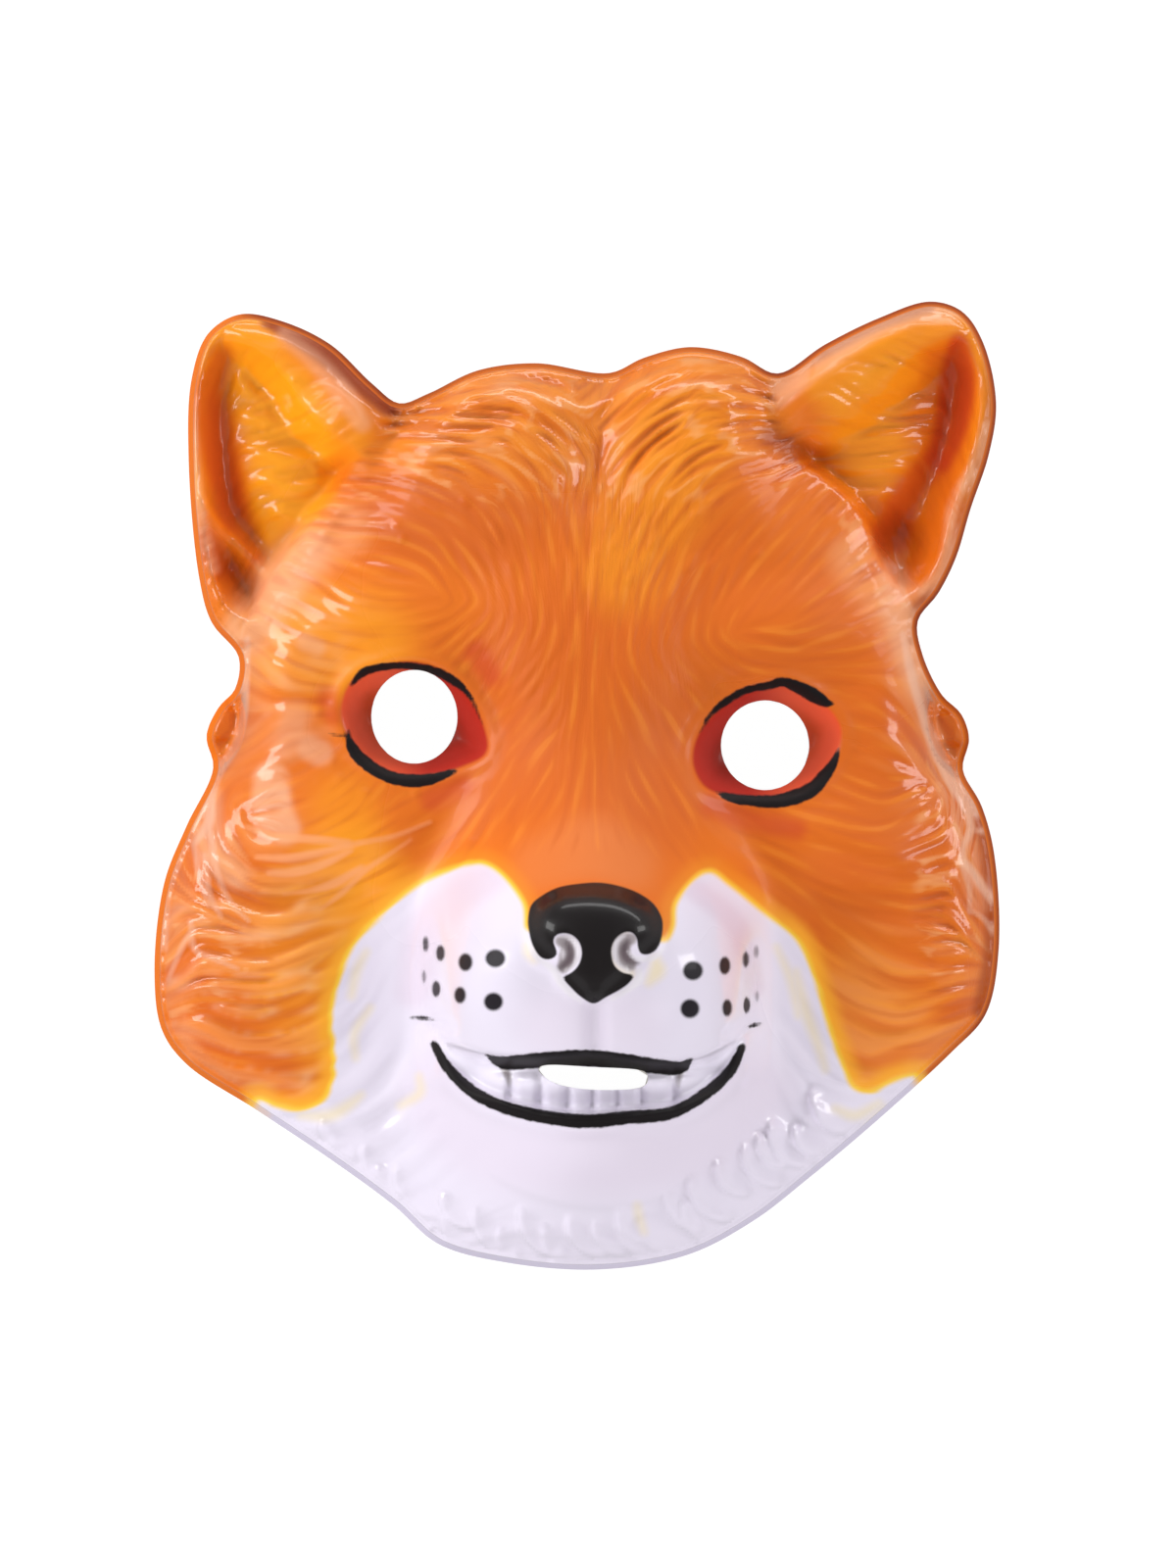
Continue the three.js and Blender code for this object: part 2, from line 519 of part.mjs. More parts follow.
// The sheet in plan: the net cut along the line where material is 0
function plan() {
  const { points, cells } = net();
  const level = points.map(([x, y]) => material(x, y));
  const crossing = (a, b) => {
    let [low, high] = [0, 1];
    const [ax, ay] = points[a];
    const [bx, by] = points[b];
    for (let k = 0; k < 24; k++) {
      const mid = (low + high) / 2;
      const value = material(ax + (bx - ax) * mid, ay + (by - ay) * mid);
      if (value > 0 === level[a] > 0) low = mid;
      else high = mid;
    }
    return [low, [ax + (bx - ax) * low, ay + (by - ay) * low]];
  };
  const moves = new Map();
  const offer = (corner, share, point) => {
    if (share < SNAP && !(moves.get(corner)?.share <= share)) moves.set(corner, { share, point });
  };
  for (const [a, b, c] of cells) {
    for (const [p, q] of [[a, b], [b, c], [c, a]]) {
      if (level[p] > 0 === level[q] > 0) continue;
      const [share, point] = crossing(p, q);
      offer(p, share, point);
      offer(q, 1 - share, point);
    }
  }
  for (const [corner, { point }] of moves) {
    points[corner] = point;
    level[corner] = 0;
  }
  const cuts = new Map();
  const cut = (a, b) => {
    const key = edgeKey(a, b);
    if (!cuts.has(key)) {
      cuts.set(key, points.length);
      points.push(crossing(a, b)[1]);
      level.push(0);
    }
    return cuts.get(key);
  };
  const faces = [];
  for (const cell of cells) {
    const ring = [];
    cell.forEach((a, k) => {
      const b = cell[(k + 1) % 3];
      if (level[a] >= 0) ring.push(a);
      if (level[a] * level[b] < 0) ring.push(cut(a, b));
    });
    if (ring.length < 3) continue;
    const centre = [0, 1].map((k) => ring.reduce((sum, p) => sum + points[p][k], 0) / ring.length);
    if (ring.every((p) => level[p] === 0) && material(centre[0], centre[1]) <= 0) continue;
    for (let k = 1; k + 1 < ring.length; k++) faces.push([ring[0], ring[k], ring[k + 1]]);
  }
  return { points, faces };
}

// The shell: outer surface, inner surface one sheet below it, side walls down to the flat rim
function shell() {
  const { points, faces } = plan();
  const positions = [];
  const index = [];
  const place = (x, y, z) => positions.push(x, y, z) / 3 - 1;
  const outer = new Map();
  const inner = new Map();
  for (const corner of new Set(faces.flat())) {
    const [x, y] = points[corner];
    const z = height(x, y);
    const drop = SHEET * Math.min(3, Math.hypot(1, ...slope(height, x, y)));
    outer.set(corner, place(x, y, z));
    inner.set(corner, place(x, y, Math.max(z - drop, 0.45 * z)));
  }
  const edges = new Map();
  for (const [a, b, c] of faces) {
    index.push(outer.get(a), outer.get(b), outer.get(c));
    index.push(inner.get(c), inner.get(b), inner.get(a));
    for (const [p, q] of [[a, b], [b, c], [c, a]]) {
      if (!edges.delete(`${q},${p}`)) edges.set(`${p},${q}`, [p, q]);
    }
  }
  const rim = (x, y) => within(x, y, OUTLINE);
  const chains = new Map();
  const chain = (corner) => {
    if (chains.has(corner)) return chains.get(corner);
    const [x, y] = points[corner];
    const links = [outer.get(corner)];
    if (rim(x, y) < WALL_DRAFT + 0.5) {
      const z = height(x, y);
      let [px, py] = [x, y];
      for (let k = 0; k < 3; k++) {
        const [gx, gy] = slope(rim, px, py);
        const move = rim(px, py) / Math.hypot(gx, gy);
        px -= gx * move;
        py -= gy * move;
      }
      const reach = Math.hypot(px - x, py - y);
      const [ox, oy] = [(px - x) / reach, (py - y) / reach];
      const round = Math.min(WALL_ROUND, 0.3 * z);
      links.push(place(x + ox * reach * WALL_SHARE, y + oy * reach * WALL_SHARE, z - round));
      links.push(place(px, py, 0));
      links.push(place(px - ox * SHEET, py - oy * SHEET, 0));
    }
    links.push(inner.get(corner));
    chains.set(corner, links);
    return links;
  };
  for (const [p, q] of edges.values()) {
    const a = chain(p);
    const b = chain(q);
    for (let k = 0; k + 1 < a.length; k++) {
      index.push(b[k], a[k], a[k + 1]);
      index.push(b[k], a[k + 1], b[k + 1]);
    }
  }
  const geometry = new THREE.BufferGeometry();
  geometry.setAttribute("position", new THREE.Float32BufferAttribute(positions, 3));
  geometry.setIndex(index);
  geometry.computeBoundingBox();
  const centre = geometry.boundingBox.getCenter(new THREE.Vector3());
  geometry.translate(-centre.x, -centre.y, 0);
  return geometry;
}

const mask = new THREE.Group();
mask.name = "fox_mask";
const gloss = new THREE.MeshStandardMaterial({ color: 0xe6802d, roughness: 0.28, metalness: 0 });
const mesh = new THREE.Mesh(shell(), gloss);
mesh.name = "mask_shell";
mask.add(mesh);

export default mask;
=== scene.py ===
# %% [markdown]
# # A fox face mask
# The real mask is one thin plastic sheet. It was printed flat, softened by heat and drawn down over
# a mould, so its fur, lids, teeth and side walls are shapes of the same sheet. This script builds it
# as one mesh: it lays a fine net over the face, lifts each point to the height of the face there,
# cuts the net at the outline and the holes, and closes it with side walls and a back. The packed
# model comes first, because it fixes the size and the place of the sheet.

# %% Load the packed model
import math
import bmesh
import bpy
import numpy as np
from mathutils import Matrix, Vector


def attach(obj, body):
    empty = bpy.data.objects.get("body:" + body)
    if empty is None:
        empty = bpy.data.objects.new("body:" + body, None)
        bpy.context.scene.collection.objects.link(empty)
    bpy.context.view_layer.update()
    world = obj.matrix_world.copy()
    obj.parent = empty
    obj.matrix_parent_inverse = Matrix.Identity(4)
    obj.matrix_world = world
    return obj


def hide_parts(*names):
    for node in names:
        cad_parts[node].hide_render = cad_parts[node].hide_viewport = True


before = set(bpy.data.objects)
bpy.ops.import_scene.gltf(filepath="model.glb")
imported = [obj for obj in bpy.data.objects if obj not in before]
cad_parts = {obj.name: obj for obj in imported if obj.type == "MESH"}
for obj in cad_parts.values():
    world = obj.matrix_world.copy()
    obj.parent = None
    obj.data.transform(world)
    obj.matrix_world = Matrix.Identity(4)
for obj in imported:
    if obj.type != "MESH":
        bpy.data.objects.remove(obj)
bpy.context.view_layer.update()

# %% [markdown]
# ## A net over the face
# All sizes are millimetres on the mask: X runs across the face, Y up to the ears and Z out of the
# face. They repeat the sizes of the solid model, so both have the same form. The face could be
# sculpted from a few large faces, but then each hair would need small faces of its own. A fine square
# net takes any height at each of its points. Its step is chosen so that a single hair, about 1.2 mm
# wide, still has two points across it.

# %% Net
MM = 0.001
NET_LOW = (-90, -102)
NET_HIGH = (90, 102)
STEP = 0.59  # of the net in front
xs = np.arange(NET_LOW[0], NET_HIGH[0], STEP)
ys = np.arange(NET_LOW[1], NET_HIGH[1], STEP)
X, Y = np.meshgrid(xs, ys)
print("net", X.shape, "points,", STEP, "mm apart")

# %% [markdown]
# ## Outline
# The real sheet was cut out along one closed line round crown, ears, tabs, cheeks and chin. It could
# be traced with hundreds of points, but a smooth line through a few landmarks is fair everywhere, and
# each landmark can be moved by hand. A second line is the head's own edge, which runs behind the ears.

# %% Landmarks of the outline
CROWN_RIGHT = [(6, 84.2), (13, 87.3), (22.5, 89.5), (33, 87.5)]
EAR_RIGHT = [
    (40.3, 84.1), (50, 90), (61, 95.4), (71.5, 98.8), (78, 96.8), (82.3, 90.5),
    (85, 78), (83.5, 67.5), (79.8, 56.5), (76.8, 46.5), (73.2, 39.2),
]
TEMPLE_RIGHT = [(69, 33.5), (70, 26.5), (74, 18.3)]
TAB_RIGHT = [(77.8, 14.6), (79.5, 9.5), (78.2, 3.2)]
CHEEK_RIGHT = [(82, -4.2), (84.6, -14), (85.5, -34), (82.8, -47)]
JAW_RIGHT = [(76, -54.5), (61.3, -68), (46.5, -80.5), (35.5, -89)]
CHIN = [(22, -96), (4, -99), (-15, -97.6)]
JAW_LEFT = [(-29, -93.8), (-38, -86), (-50, -77.2), (-66, -66.5), (-80.5, -57)]
CHEEK_LEFT = [(-85.5, -50), (-87, -38), (-85, -20), (-80.5, -8.5)]
TAB_LEFT = [(-75, 3.5), (-76.4, 10), (-73.8, 16)]
TEMPLE_LEFT = [(-70.6, 19.5), (-69.8, 26.2)]
EAR_LEFT = [
    (-75.3, 33.2), (-77.8, 42), (-80, 66), (-79.4, 83), (-76, 92.3),
    (-69.5, 96.2), (-61, 94.8), (-51, 90), (-42.5, 82),
]
CROWN_LEFT = [(-37, 78), (-31, 80), (-21, 84.7), (-9, 86.2)]
EAR_JOIN_RIGHT = [
    (39.5, 82), (40.5, 74), (44.5, 66.5), (52, 60.5), (58, 54), (60, 47), (65, 39.5), (69, 31),
]
SIDE_RIGHT = [(70, 24), (70.5, 16.5), (71.2, 11), (73.2, 5.5), (77.8, 0.5)]
SIDE_LEFT = [(-75, 0.5), (-70.4, 6), (-68.3, 12), (-68.4, 20)]
EAR_JOIN_LEFT = [(-68, 29), (-64.5, 39), (-58, 48), (-51, 57.5), (-45.5, 65.5), (-40, 72.5)]
print("landmarks of the ears", len(EAR_RIGHT) + len(EAR_LEFT))


# %% A smooth line through landmarks
def smooth_line(marks, closed=False, step=1.0):
    """A smooth line through landmarks, as short straight steps. A third number, a width, rides along."""
    marks = np.array(marks, float)
    if closed:
        ends = np.vstack([marks[-1:], marks, marks[:2]])
    else:
        ends = np.vstack([2 * marks[:1] - marks[1:2], marks, 2 * marks[-1:] - marks[-2:-1]])
    line = []
    for a, b, c, d in zip(ends, ends[1:], ends[2:], ends[3:]):
        g, h, k = [math.sqrt(math.dist(p[:2], q[:2])) for p, q in ((a, b), (b, c), (c, d))]
        leave = ((b - a) / g - (c - a) / (g + h) + (c - b) / h) * h
        arrive = ((c - b) / h - (d - b) / (h + k) + (d - c) / k) * h
        parts = max(2, math.ceil(math.dist(b[:2], c[:2]) / step))
        t = (np.arange(parts) / parts)[:, None]
        square = 3 * (c - b) - 2 * leave - arrive
        cube = 2 * (b - c) + leave + arrive
        line.append(b + leave * t + square * t**2 + cube * t**3)
    line.append(line[0][:1] if closed else marks[-1:])
    return np.vstack(line)


OUTLINE_STEP = 1.5
outline = smooth_line([
    *CROWN_RIGHT, *EAR_RIGHT, *TEMPLE_RIGHT, *TAB_RIGHT, *CHEEK_RIGHT, *JAW_RIGHT, *CHIN,
    *JAW_LEFT, *CHEEK_LEFT, *TAB_LEFT, *TEMPLE_LEFT, *EAR_LEFT, *CROWN_LEFT,
], True, OUTLINE_STEP)
head_edge = smooth_line([
    *CROWN_RIGHT, *EAR_JOIN_RIGHT, *SIDE_RIGHT, *CHEEK_RIGHT, *JAW_RIGHT, *CHIN,
    *JAW_LEFT, *CHEEK_LEFT, *SIDE_LEFT, *EAR_JOIN_LEFT, *CROWN_LEFT,
], True, OUTLINE_STEP)
print("outline", len(outline), "points, head", len(head_edge), "points")


# %% Distance to a line
def nearest(x, y, line):
    """Distance to a line, and the share of its length at the nearest point"""
    best = np.full(x.shape, np.inf)
    along = np.zeros(x.shape)
    run = 0
    for (ax, ay), (bx, by) in zip(line[:, :2], line[1:, :2]):
        ux, uy = bx - ax, by - ay
        length = math.hypot(ux, uy)
        share = np.clip(((x - ax) * ux + (y - ay) * uy) / length**2, 0, 1)
        gap = (x - ax - share * ux) ** 2 + (y - ay - share * uy) ** 2
        closer = gap < best
        best[closer] = gap[closer]
        along[closer] = run + share[closer] * length
        run += length
    return np.sqrt(best), along / run


def within(x, y, loop):
    """Distance to a closed line, above 0 inside it"""
    inside = np.zeros(x.shape, bool)
    for (ax, ay), (bx, by) in zip(loop, loop[1:]):
        if ay != by:
            inside ^= ((ay > y) != (by > y)) & (x < (bx - ax) * (y - ay) / (by - ay) + ax)
    distance = nearest(x, y, loop)[0]
    return np.where(inside, distance, -distance)


in_outline = within(X, Y, outline)
in_head = within(X, Y, head_edge)
print("furthest inside the outline", round(float(in_outline.max()), 1), "mm")

# %% [markdown]
# ## Carved areas
# The bowls of the ears, the eyes, the mouth with its slot and the nose pad were carved into the mould
# inside edges of their own. Boolean cuts could make them, but a distance inside each edge is enough,
# because it lets the surface sink or rise softly from the edge on. It is worked out only on the part
# of the net that lies near the edge, which keeps the script quick.

# %% Landmarks of bowls and eyes
BOWL_LEFT = [
    (-73.5, 91.5), (-67, 89.5), (-60.5, 83.5), (-56, 76.5), (-50, 70.5), (-44.5, 65), (-52, 53),
    (-60, 42), (-66, 34), (-70.5, 35), (-75, 41), (-76.6, 52), (-77.2, 64), (-77.8, 78), (-76.5, 87),
]
BOWL_RIGHT = [
    (77.5, 91.5), (70, 88.5), (61, 81), (52, 74), (43, 68.5), (41, 65.5), (47, 60), (54, 52),
    (59, 44), (63, 37), (70, 40.5), (73.4, 46.5), (75.2, 55), (77.6, 63), (80.4, 74), (81.2, 85),
]
EYE_LEFT = [
    (-47.9, 15.5), (-46, 20.6), (-41, 23.2), (-34, 24.3), (-27.5, 22), (-23, 17), (-20.3, 11.5),
    (-19.8, 7), (-24, 4.6), (-30, 2.9), (-37, 2.8), (-43, 5.6), (-46.7, 10.5),
]
EYE_RIGHT = [
    (23.8, 4.5), (24.6, 9.5), (28.4, 14.6), (34, 18.2), (40.5, 20), (46, 18), (50, 15.2),
    (52.3, 11.5), (51.6, 6.5), (48, 1.5), (43, -1.3), (37, -2), (30.5, -1.4), (26, 0.2),
]
print("bowls", len(BOWL_LEFT) + len(BOWL_RIGHT), "landmarks, eyes", len(EYE_LEFT) + len(EYE_RIGHT))

# %% Landmarks of mouth and nose
MOUTH_SLOT = [
    (-8.6, -57.6), (-7.6, -57), (2, -57.3), (13.0, -58.2), (13.8, -59), (13.5, -60.8),
    (12.3, -61.5), (6, -62), (0, -61.7), (-4.6, -60.8), (-7.2, -59.4),
]
UPPER_LIP = [
    (-31, -48.4), (-27, -51.4), (-20, -54.3), (-10, -55.2), (-3, -54.9), (2.8, -54.3),
    (9, -55.5), (17, -56.2), (24, -55.4), (31, -51.6), (34.8, -49.4),
]
LOWER_LIP = [
    (33, -53.5), (30, -59), (25, -63.4), (20, -66), (13, -67), (5, -67.7),
    (-3, -67.7), (-12, -66.2), (-21, -62.8), (-27, -57.6), (-29.8, -53),
]
NOSE = [
    (-5.5, -20.4), (-1, -19.6), (5, -19.7), (9.5, -20.6), (14, -23), (16.8, -27), (17, -30.5),
    (14.5, -33.8), (11.5, -36), (9.5, -39.2), (6, -42), (3, -44.4), (0, -42.2), (-3.2, -39.4),
    (-4.8, -36.6), (-7.6, -34.8), (-10, -31.5), (-10.8, -27.5), (-9.2, -23.5),
]
print("lips", len(UPPER_LIP) + len(LOWER_LIP), "landmarks, nose", len(NOSE))


# %% Distance inside the carved areas
def near(line, reach):
    """The window of the net within reach of a line"""
    low = (line[:, :2].min(0) - reach - NET_LOW) / STEP
    high = (line[:, :2].max(0) + reach - NET_LOW) / STEP
    (i, j), (k, m) = np.maximum(low, 0).astype(int), np.maximum(high, 0).astype(int) + 2
    return slice(j, m), slice(i, k)


def inside_of(marks, reach=12.0, step=1.0):
    """Distance inside a closed line through landmarks, on the whole net"""
    loop = smooth_line(marks, True, step)
    level = np.full(X.shape, -float(reach))
    window = near(loop, reach)
    level[window] = within(X[window], Y[window], loop)
    return level


SLOT_STEP = 0.6
in_eye_left = inside_of(EYE_LEFT)
in_eye_right = inside_of(EYE_RIGHT)
in_mouth = inside_of([*UPPER_LIP, *LOWER_LIP])
in_slot = inside_of(MOUTH_SLOT, step=SLOT_STEP)
in_nose = inside_of(NOSE)
in_bowl_left = inside_of(BOWL_LEFT)
in_bowl_right = inside_of(BOWL_RIGHT)
print("mouth", round(float(in_mouth.max()), 1), "mm from its edge to its middle")

# %% [markdown]
# ## Dome and swellings
# Under its fur the face is a shallow dome with soft lobes at crown, brows and cheeks, and hollows
# round the eyes. It could be sculpted by hand, but heights from formulas stay exact when a size
# changes. Each swelling is one row of numbers: its middle, its half sizes, its turn and its rise.

# %% Dome with its swellings
FACE_LOW = 15
FACE_DOME = 17
DOME_CENTRE = (1, 18)
DOME_HALF = (96, 122)
DOME_POWER = 2.2
SWELLINGS = [  # x, y, half width, half height, turn in degrees, rise
    (-17, 68, 28, 26, 0, 3.6), (24, 71, 26, 26, 0, 4.8),
    (0, 40, 60, 40, 0, 2.2),
    (-40, 35, 25, 15, -14, 4.2), (43, 31, 25, 15, 14, 4.2),
    (-13, 27, 14, 22, 12, 1.5), (17, 24, 14, 22, -12, 1.5),
    (-62, 24, 15, 26, 0, 2.2), (64, 18, 15, 26, 0, 2.2),
    (-33, 12, 24, 18, 0, -4.6), (37, 8, 24, 18, 0, -4.6),
    (-54, -8, 28, 15, 12, 3.2), (58, -11, 28, 15, -12, 3.2),
    (-66, -38, 28, 30, 0, 4), (68, -36, 28, 30, 0, 4),
    (-45, -34, 15, 28, 20, -1.6), (50, -34, 15, 28, -20, -1.6),
    (-20, -41, 14, 14, 0, 2.6), (24.5, -41, 13, 14, 0, 2.6),
    (2.8, -77, 24, 14, 0, 2.4),
]


def swell(table):
    """Soft oval swellings"""
    rise = np.zeros(X.shape)
    for x, y, half_x, half_y, degrees, amount in table:
        turn = math.radians(degrees)
        u = ((X - x) * math.cos(turn) + (Y - y) * math.sin(turn)) / half_x
        v = ((Y - y) * math.cos(turn) - (X - x) * math.sin(turn)) / half_y
        rise += amount * np.clip(1 - u * u - v * v, 0, 1) ** 2
    return rise


across = np.clip(1 - ((X - DOME_CENTRE[0]) / DOME_HALF[0]) ** 2, 0, 1)
along = np.clip(1 - (np.abs(Y - DOME_CENTRE[1]) / DOME_HALF[1]) ** DOME_POWER, 0, 1)
dome = FACE_LOW + FACE_DOME * across * along
lobes = swell(SWELLINGS)
print("dome", round(float(dome.max()), 1), "mm, lobes up to", round(float(lobes.max()), 1), "mm")

# %% [markdown]
# ## Muzzle
# The muzzle stands out from the dome, steep beside the nose and soft towards brow and chin. A loft
# through sections could model it. Here each section is one row of a table, and a smooth curve between
# the rows gives its rise, its two half widths, its middle and how softly its sides run out.

# %% Sections of the muzzle
MUZZLE = [  # y, rise, left half, right half, middle, softness of the side
    (62, 0, 26, 26, 1, 1.8), (45, 1.6, 25, 25, 1, 1.8), (30, 4.2, 24, 25, 1.3, 1.8),
    (15, 8.2, 24, 25, 1.6, 1.8), (5, 12.5, 25, 26, 1.9, 1.75), (-5, 18.5, 28, 29, 2.2, 1.6),
    (-13, 25, 31, 32, 2.5, 1.35), (-22, 32.5, 34, 34, 2.8, 0.95), (-32, 36.5, 34.8, 33.8, 2.8, 0.66),
    (-42, 36.2, 35, 33.7, 2.8, 0.6), (-50, 34, 35, 34.4, 2.8, 0.7), (-57, 31, 37, 36.5, 2.8, 0.98),
    (-64, 28, 41, 40, 2.8, 1.45), (-72, 24.5, 44, 43, 2.8, 1.8), (-80, 20, 44, 43, 2.8, 1.9),
    (-88, 14, 42, 42, 2.8, 1.8), (-95, 9, 40, 40, 2.8, 1.7), (-100, 6.5, 40, 40, 2.8, 1.7),
]
print("muzzle", len(MUZZLE), "sections")


# %% Soft steps and curves between the sections
def ease(start, end, value):
    """0 before start, 1 past end, with a soft change between them"""
    share = np.clip((value - start) / (end - start), 0, 1)
    return share * share * (3 - 2 * share)


def blurred(field, size):
    """A field softened by size"""
    across = np.fft.rfftfreq(field.shape[1], STEP)[None, :]
    up = np.fft.fftfreq(field.shape[0], STEP)[:, None]
    keep = np.exp(-2 * (math.pi * size) ** 2 * (across**2 + up**2))
    return np.fft.irfft2(np.fft.rfft2(field) * keep, field.shape)


def muzzle_column(column):
    """One column of the muzzle's table for every row of the net, on a smooth curve"""
    rows = np.array(MUZZLE[::-1], float)
    at, value = rows[:, 0], rows[:, column]
    last = len(at) - 1
    after = [min(k + 1, last) for k in range(len(at))]
    before = [max(k - 1, 0) for k in range(len(at))]
    slopes = (value[after] - value[before]) / (at[after] - at[before])
    q = np.clip(ys, at[0], at[-1])
    i = np.clip(np.searchsorted(at, q, side="left") - 1, 0, len(at) - 2)
    h = at[i + 1] - at[i]
    u = (q - at[i]) / h
    curve = (1 + 2 * u) * (1 - u) ** 2 * value[i] + u * (1 - u) ** 2 * h * slopes[i]
    return (curve + u * u * (3 - 2 * u) * value[i + 1] + u * u * (u - 1) * h * slopes[i + 1])[:, None]


FOOT_SOFT = 2.2  # softening of the muzzle's foot
BLUNT = 0.6  # how much blunter the section is where the sides are steep
STEEP_SIDES = (1.2, 0.6)  # softness of the sides over which it gets blunt
rise, left, right, middle, soft = [muzzle_column(k) for k in range(1, len(MUZZLE[0]))]
r = np.clip(np.abs(X - middle) / np.where(X < middle, left, right), 0, 1)
power = 2 + BLUNT * ease(*STEEP_SIDES, soft)
muzzle = blurred(rise * (1 - r**power) ** soft, FOOT_SOFT)
print("muzzle", round(float(muzzle.max()), 1), "mm high")

# %% [markdown]
# ## Folds
# Narrow ridges and grooves run over the real face: the parting of the crown, the groove under the
# nose, the corners of the mouth and the folds of the cheeks. They could be bevelled curves, but a
# curve would be a second object. A ridge with a bell-shaped section, laid along a smooth line, stays
# in the one surface.

# %% Folds of the face
CREASES = [  # points of the line, half width, rise
    ([(5.6, 92), (4.6, 80), (2.4, 68), (1, 52)], 5.5, -2.2),
    ([(3, -42), (3, -48), (2.9, -56)], 2.2, -2),
    ([(-33.5, -47), (-29, -49), (-25, -51)], 1.9, -1.5),
    ([(37.4, -48), (33, -50), (28, -52.4)], 1.9, -1.5),
    ([(-69, -14), (-54, -12), (-40, -11), (-30, -6)], 4, 1.2),
    ([(-66, -22), (-52, -20), (-38, -18)], 4, -0.9),
    ([(72, -16), (58, -13), (46, -10), (38, -7)], 4, 1.2),
    ([(68, -23), (56, -21), (44, -19)], 4, -0.9),
]


def crease(table, fade=0.25):
    """Narrow ridges and grooves that fade in and out along their length"""
    rise = np.zeros(X.shape)
    for marks, wide, amount in table:
        line = smooth_line(marks, step=min(2, wide))
        window = near(line, 3 * wide)
        distance, share = nearest(X[window], Y[window], line)
        ends = ease(0, fade, share) * ease(0, fade, 1 - share)
        rise[window] += amount * np.exp(-((distance / wide) ** 2)) * ends
    return rise


face = dome + muzzle + lobes + crease(CREASES)
print("bare head up to", round(float(face.max()), 1), "mm")

# %% [markdown]
# ## Mouth
# The mouth is open: a rolled lower lip, a hollow behind it and a row of lower teeth with gaps between
# them. The teeth could be solids of their own, but on the real mask they are the same sheet, so here
# they are a second rise inside the hollow.

# %% Lip, hollow and teeth
MID_LINE = 2.8
LIP_ROLL = (1.3, 2, 1.9)  # rise, distance outside the edge, half width
LIP_FADE = (-56, -60)  # y over which the roll comes in
MOUTH_DEPTH = (2.5, 6)
MOUTH_HALF = 33
MOUTH_EASE = (-0.5, 2.6)  # distances inside the edge over which the mouth sinks
TEETH_RISE = 4.2
TEETH_EASE = (-1.2, 1.2)
TEETH_TOP = (-57, -60.5)
TEETH_ENDS = (27, 17)
TOOTH_GAP = (1.4, 0.9)
TOOTH_GAPS = (-14, -8, -2.5, 2.5, 7.5, 12.5, 19)
GAP_EASE = (0, 2)
half = np.clip(1 - ((X - MID_LINE) / MOUTH_HALF) ** 2, 0, 1)
lip = LIP_ROLL[0] * np.exp(-(((in_mouth + LIP_ROLL[1]) / LIP_ROLL[2]) ** 2)) * ease(*LIP_FADE, Y)
sink = (MOUTH_DEPTH[0] + MOUTH_DEPTH[1] * half) * ease(*MOUTH_EASE, in_mouth)
teeth = ease(*TEETH_EASE, in_mouth) * ease(*TEETH_TOP, Y) * ease(*TEETH_ENDS, np.abs(X - MID_LINE))
gaps = sum(np.exp(-(((X - gap) / TOOTH_GAP[1]) ** 2)) for gap in TOOTH_GAPS)
face = face + lip - sink + teeth * (TEETH_RISE - TOOTH_GAP[0] * gaps * ease(*GAP_EASE, in_mouth))
print("mouth", round(float(sink.max()), 1), "mm deep,", len(TOOTH_GAPS), "gaps")

# %% [markdown]
# ## Nose pad
# The nose is a raised pad with a low dome, two curled nostrils and a groove down its middle. A
# subdivided shape could be set on the muzzle, but the pad rises out of the sheet with a rolled edge.
# A height that eases in from the pad's edge gives that roll, and a little blur keeps its mirrored
# highlights calm.

# %% Nose pad with its nostrils
NOSE_RISE = 3.8
NOSE_EASE = (-0.6, 4.2)  # distances inside the pad's edge over which it rises
NOSE_SOFT = 0.9  # softening of the rolled edge
NOSE_DOME = (3, -27.5, 14, 9, 0, 1.6)
NOSTRILS = [
    ([(3, -34), (3, -38), (3, -43)], 1, -0.3),
    ([(-4.6, -31.6), (-2.8, -31.6), (-1.7, -33.6), (-2.2, -35.8), (-4.6, -37.4)], 1.3, -1.9),
    ([(11, -31.2), (9.4, -31.4), (8.3, -33.4), (8.9, -35.6), (11.6, -36.6)], 1.3, -1.9),
    ([(-11, -31.5), (-8.8, -35.9), (-5.4, -37.8), (-3.9, -40.4), (0, -44.2)], 0.9, 0.5),
    ([(17.4, -32), (14.6, -35.4), (12.4, -38), (9.4, -42), (5, -44.8)], 0.9, 0.5),
]
pad = blurred(NOSE_RISE * ease(*NOSE_EASE, in_nose), NOSE_SOFT)
face = face + pad + swell([NOSE_DOME]) + crease(NOSTRILS)
print("nose pad", round(float(pad.max()), 1), "mm high")

# %% [markdown]
# ## Eyes
# Each eye is an almond with rolled lids. Inside them the surface sinks to a round hole to look
# through. The lids could be rings of their own, but they are folds of the sheet, so one function adds
# the roll and the hollow of an eye to the face, and is used once for each side.

# %% Lids and hollows of the eyes
HOLE_LEFT = (-33.8, 13.9, 8.8, 9.55)  # middle and half sizes
HOLE_RIGHT = (37.7, 8.1, 9.0, 9.15)
LID_ROLL = (1.7, 1.3, 2.0)  # rise above and below the eye, half width
LID_OUT = 1.5  # distance of the roll outside the eye's edge
LID_CHANGE = 5  # distance from the hole's middle over which the rise changes
EYE_DEPTH = 5
EYE_EASE = (-0.4, 4.8)  # distances inside the edge over which the eye sinks


def with_eye(z, in_eye, hole):
    """Rolled lids, and the surface sinking behind them to the hole"""
    roll = LID_ROLL[1] + (LID_ROLL[0] - LID_ROLL[1]) * ease(-LID_CHANGE, LID_CHANGE, Y - hole[1])
    lid = roll * np.exp(-(((in_eye + LID_OUT) / LID_ROLL[2]) ** 2))
    return z + lid - EYE_DEPTH * ease(*EYE_EASE, in_eye)


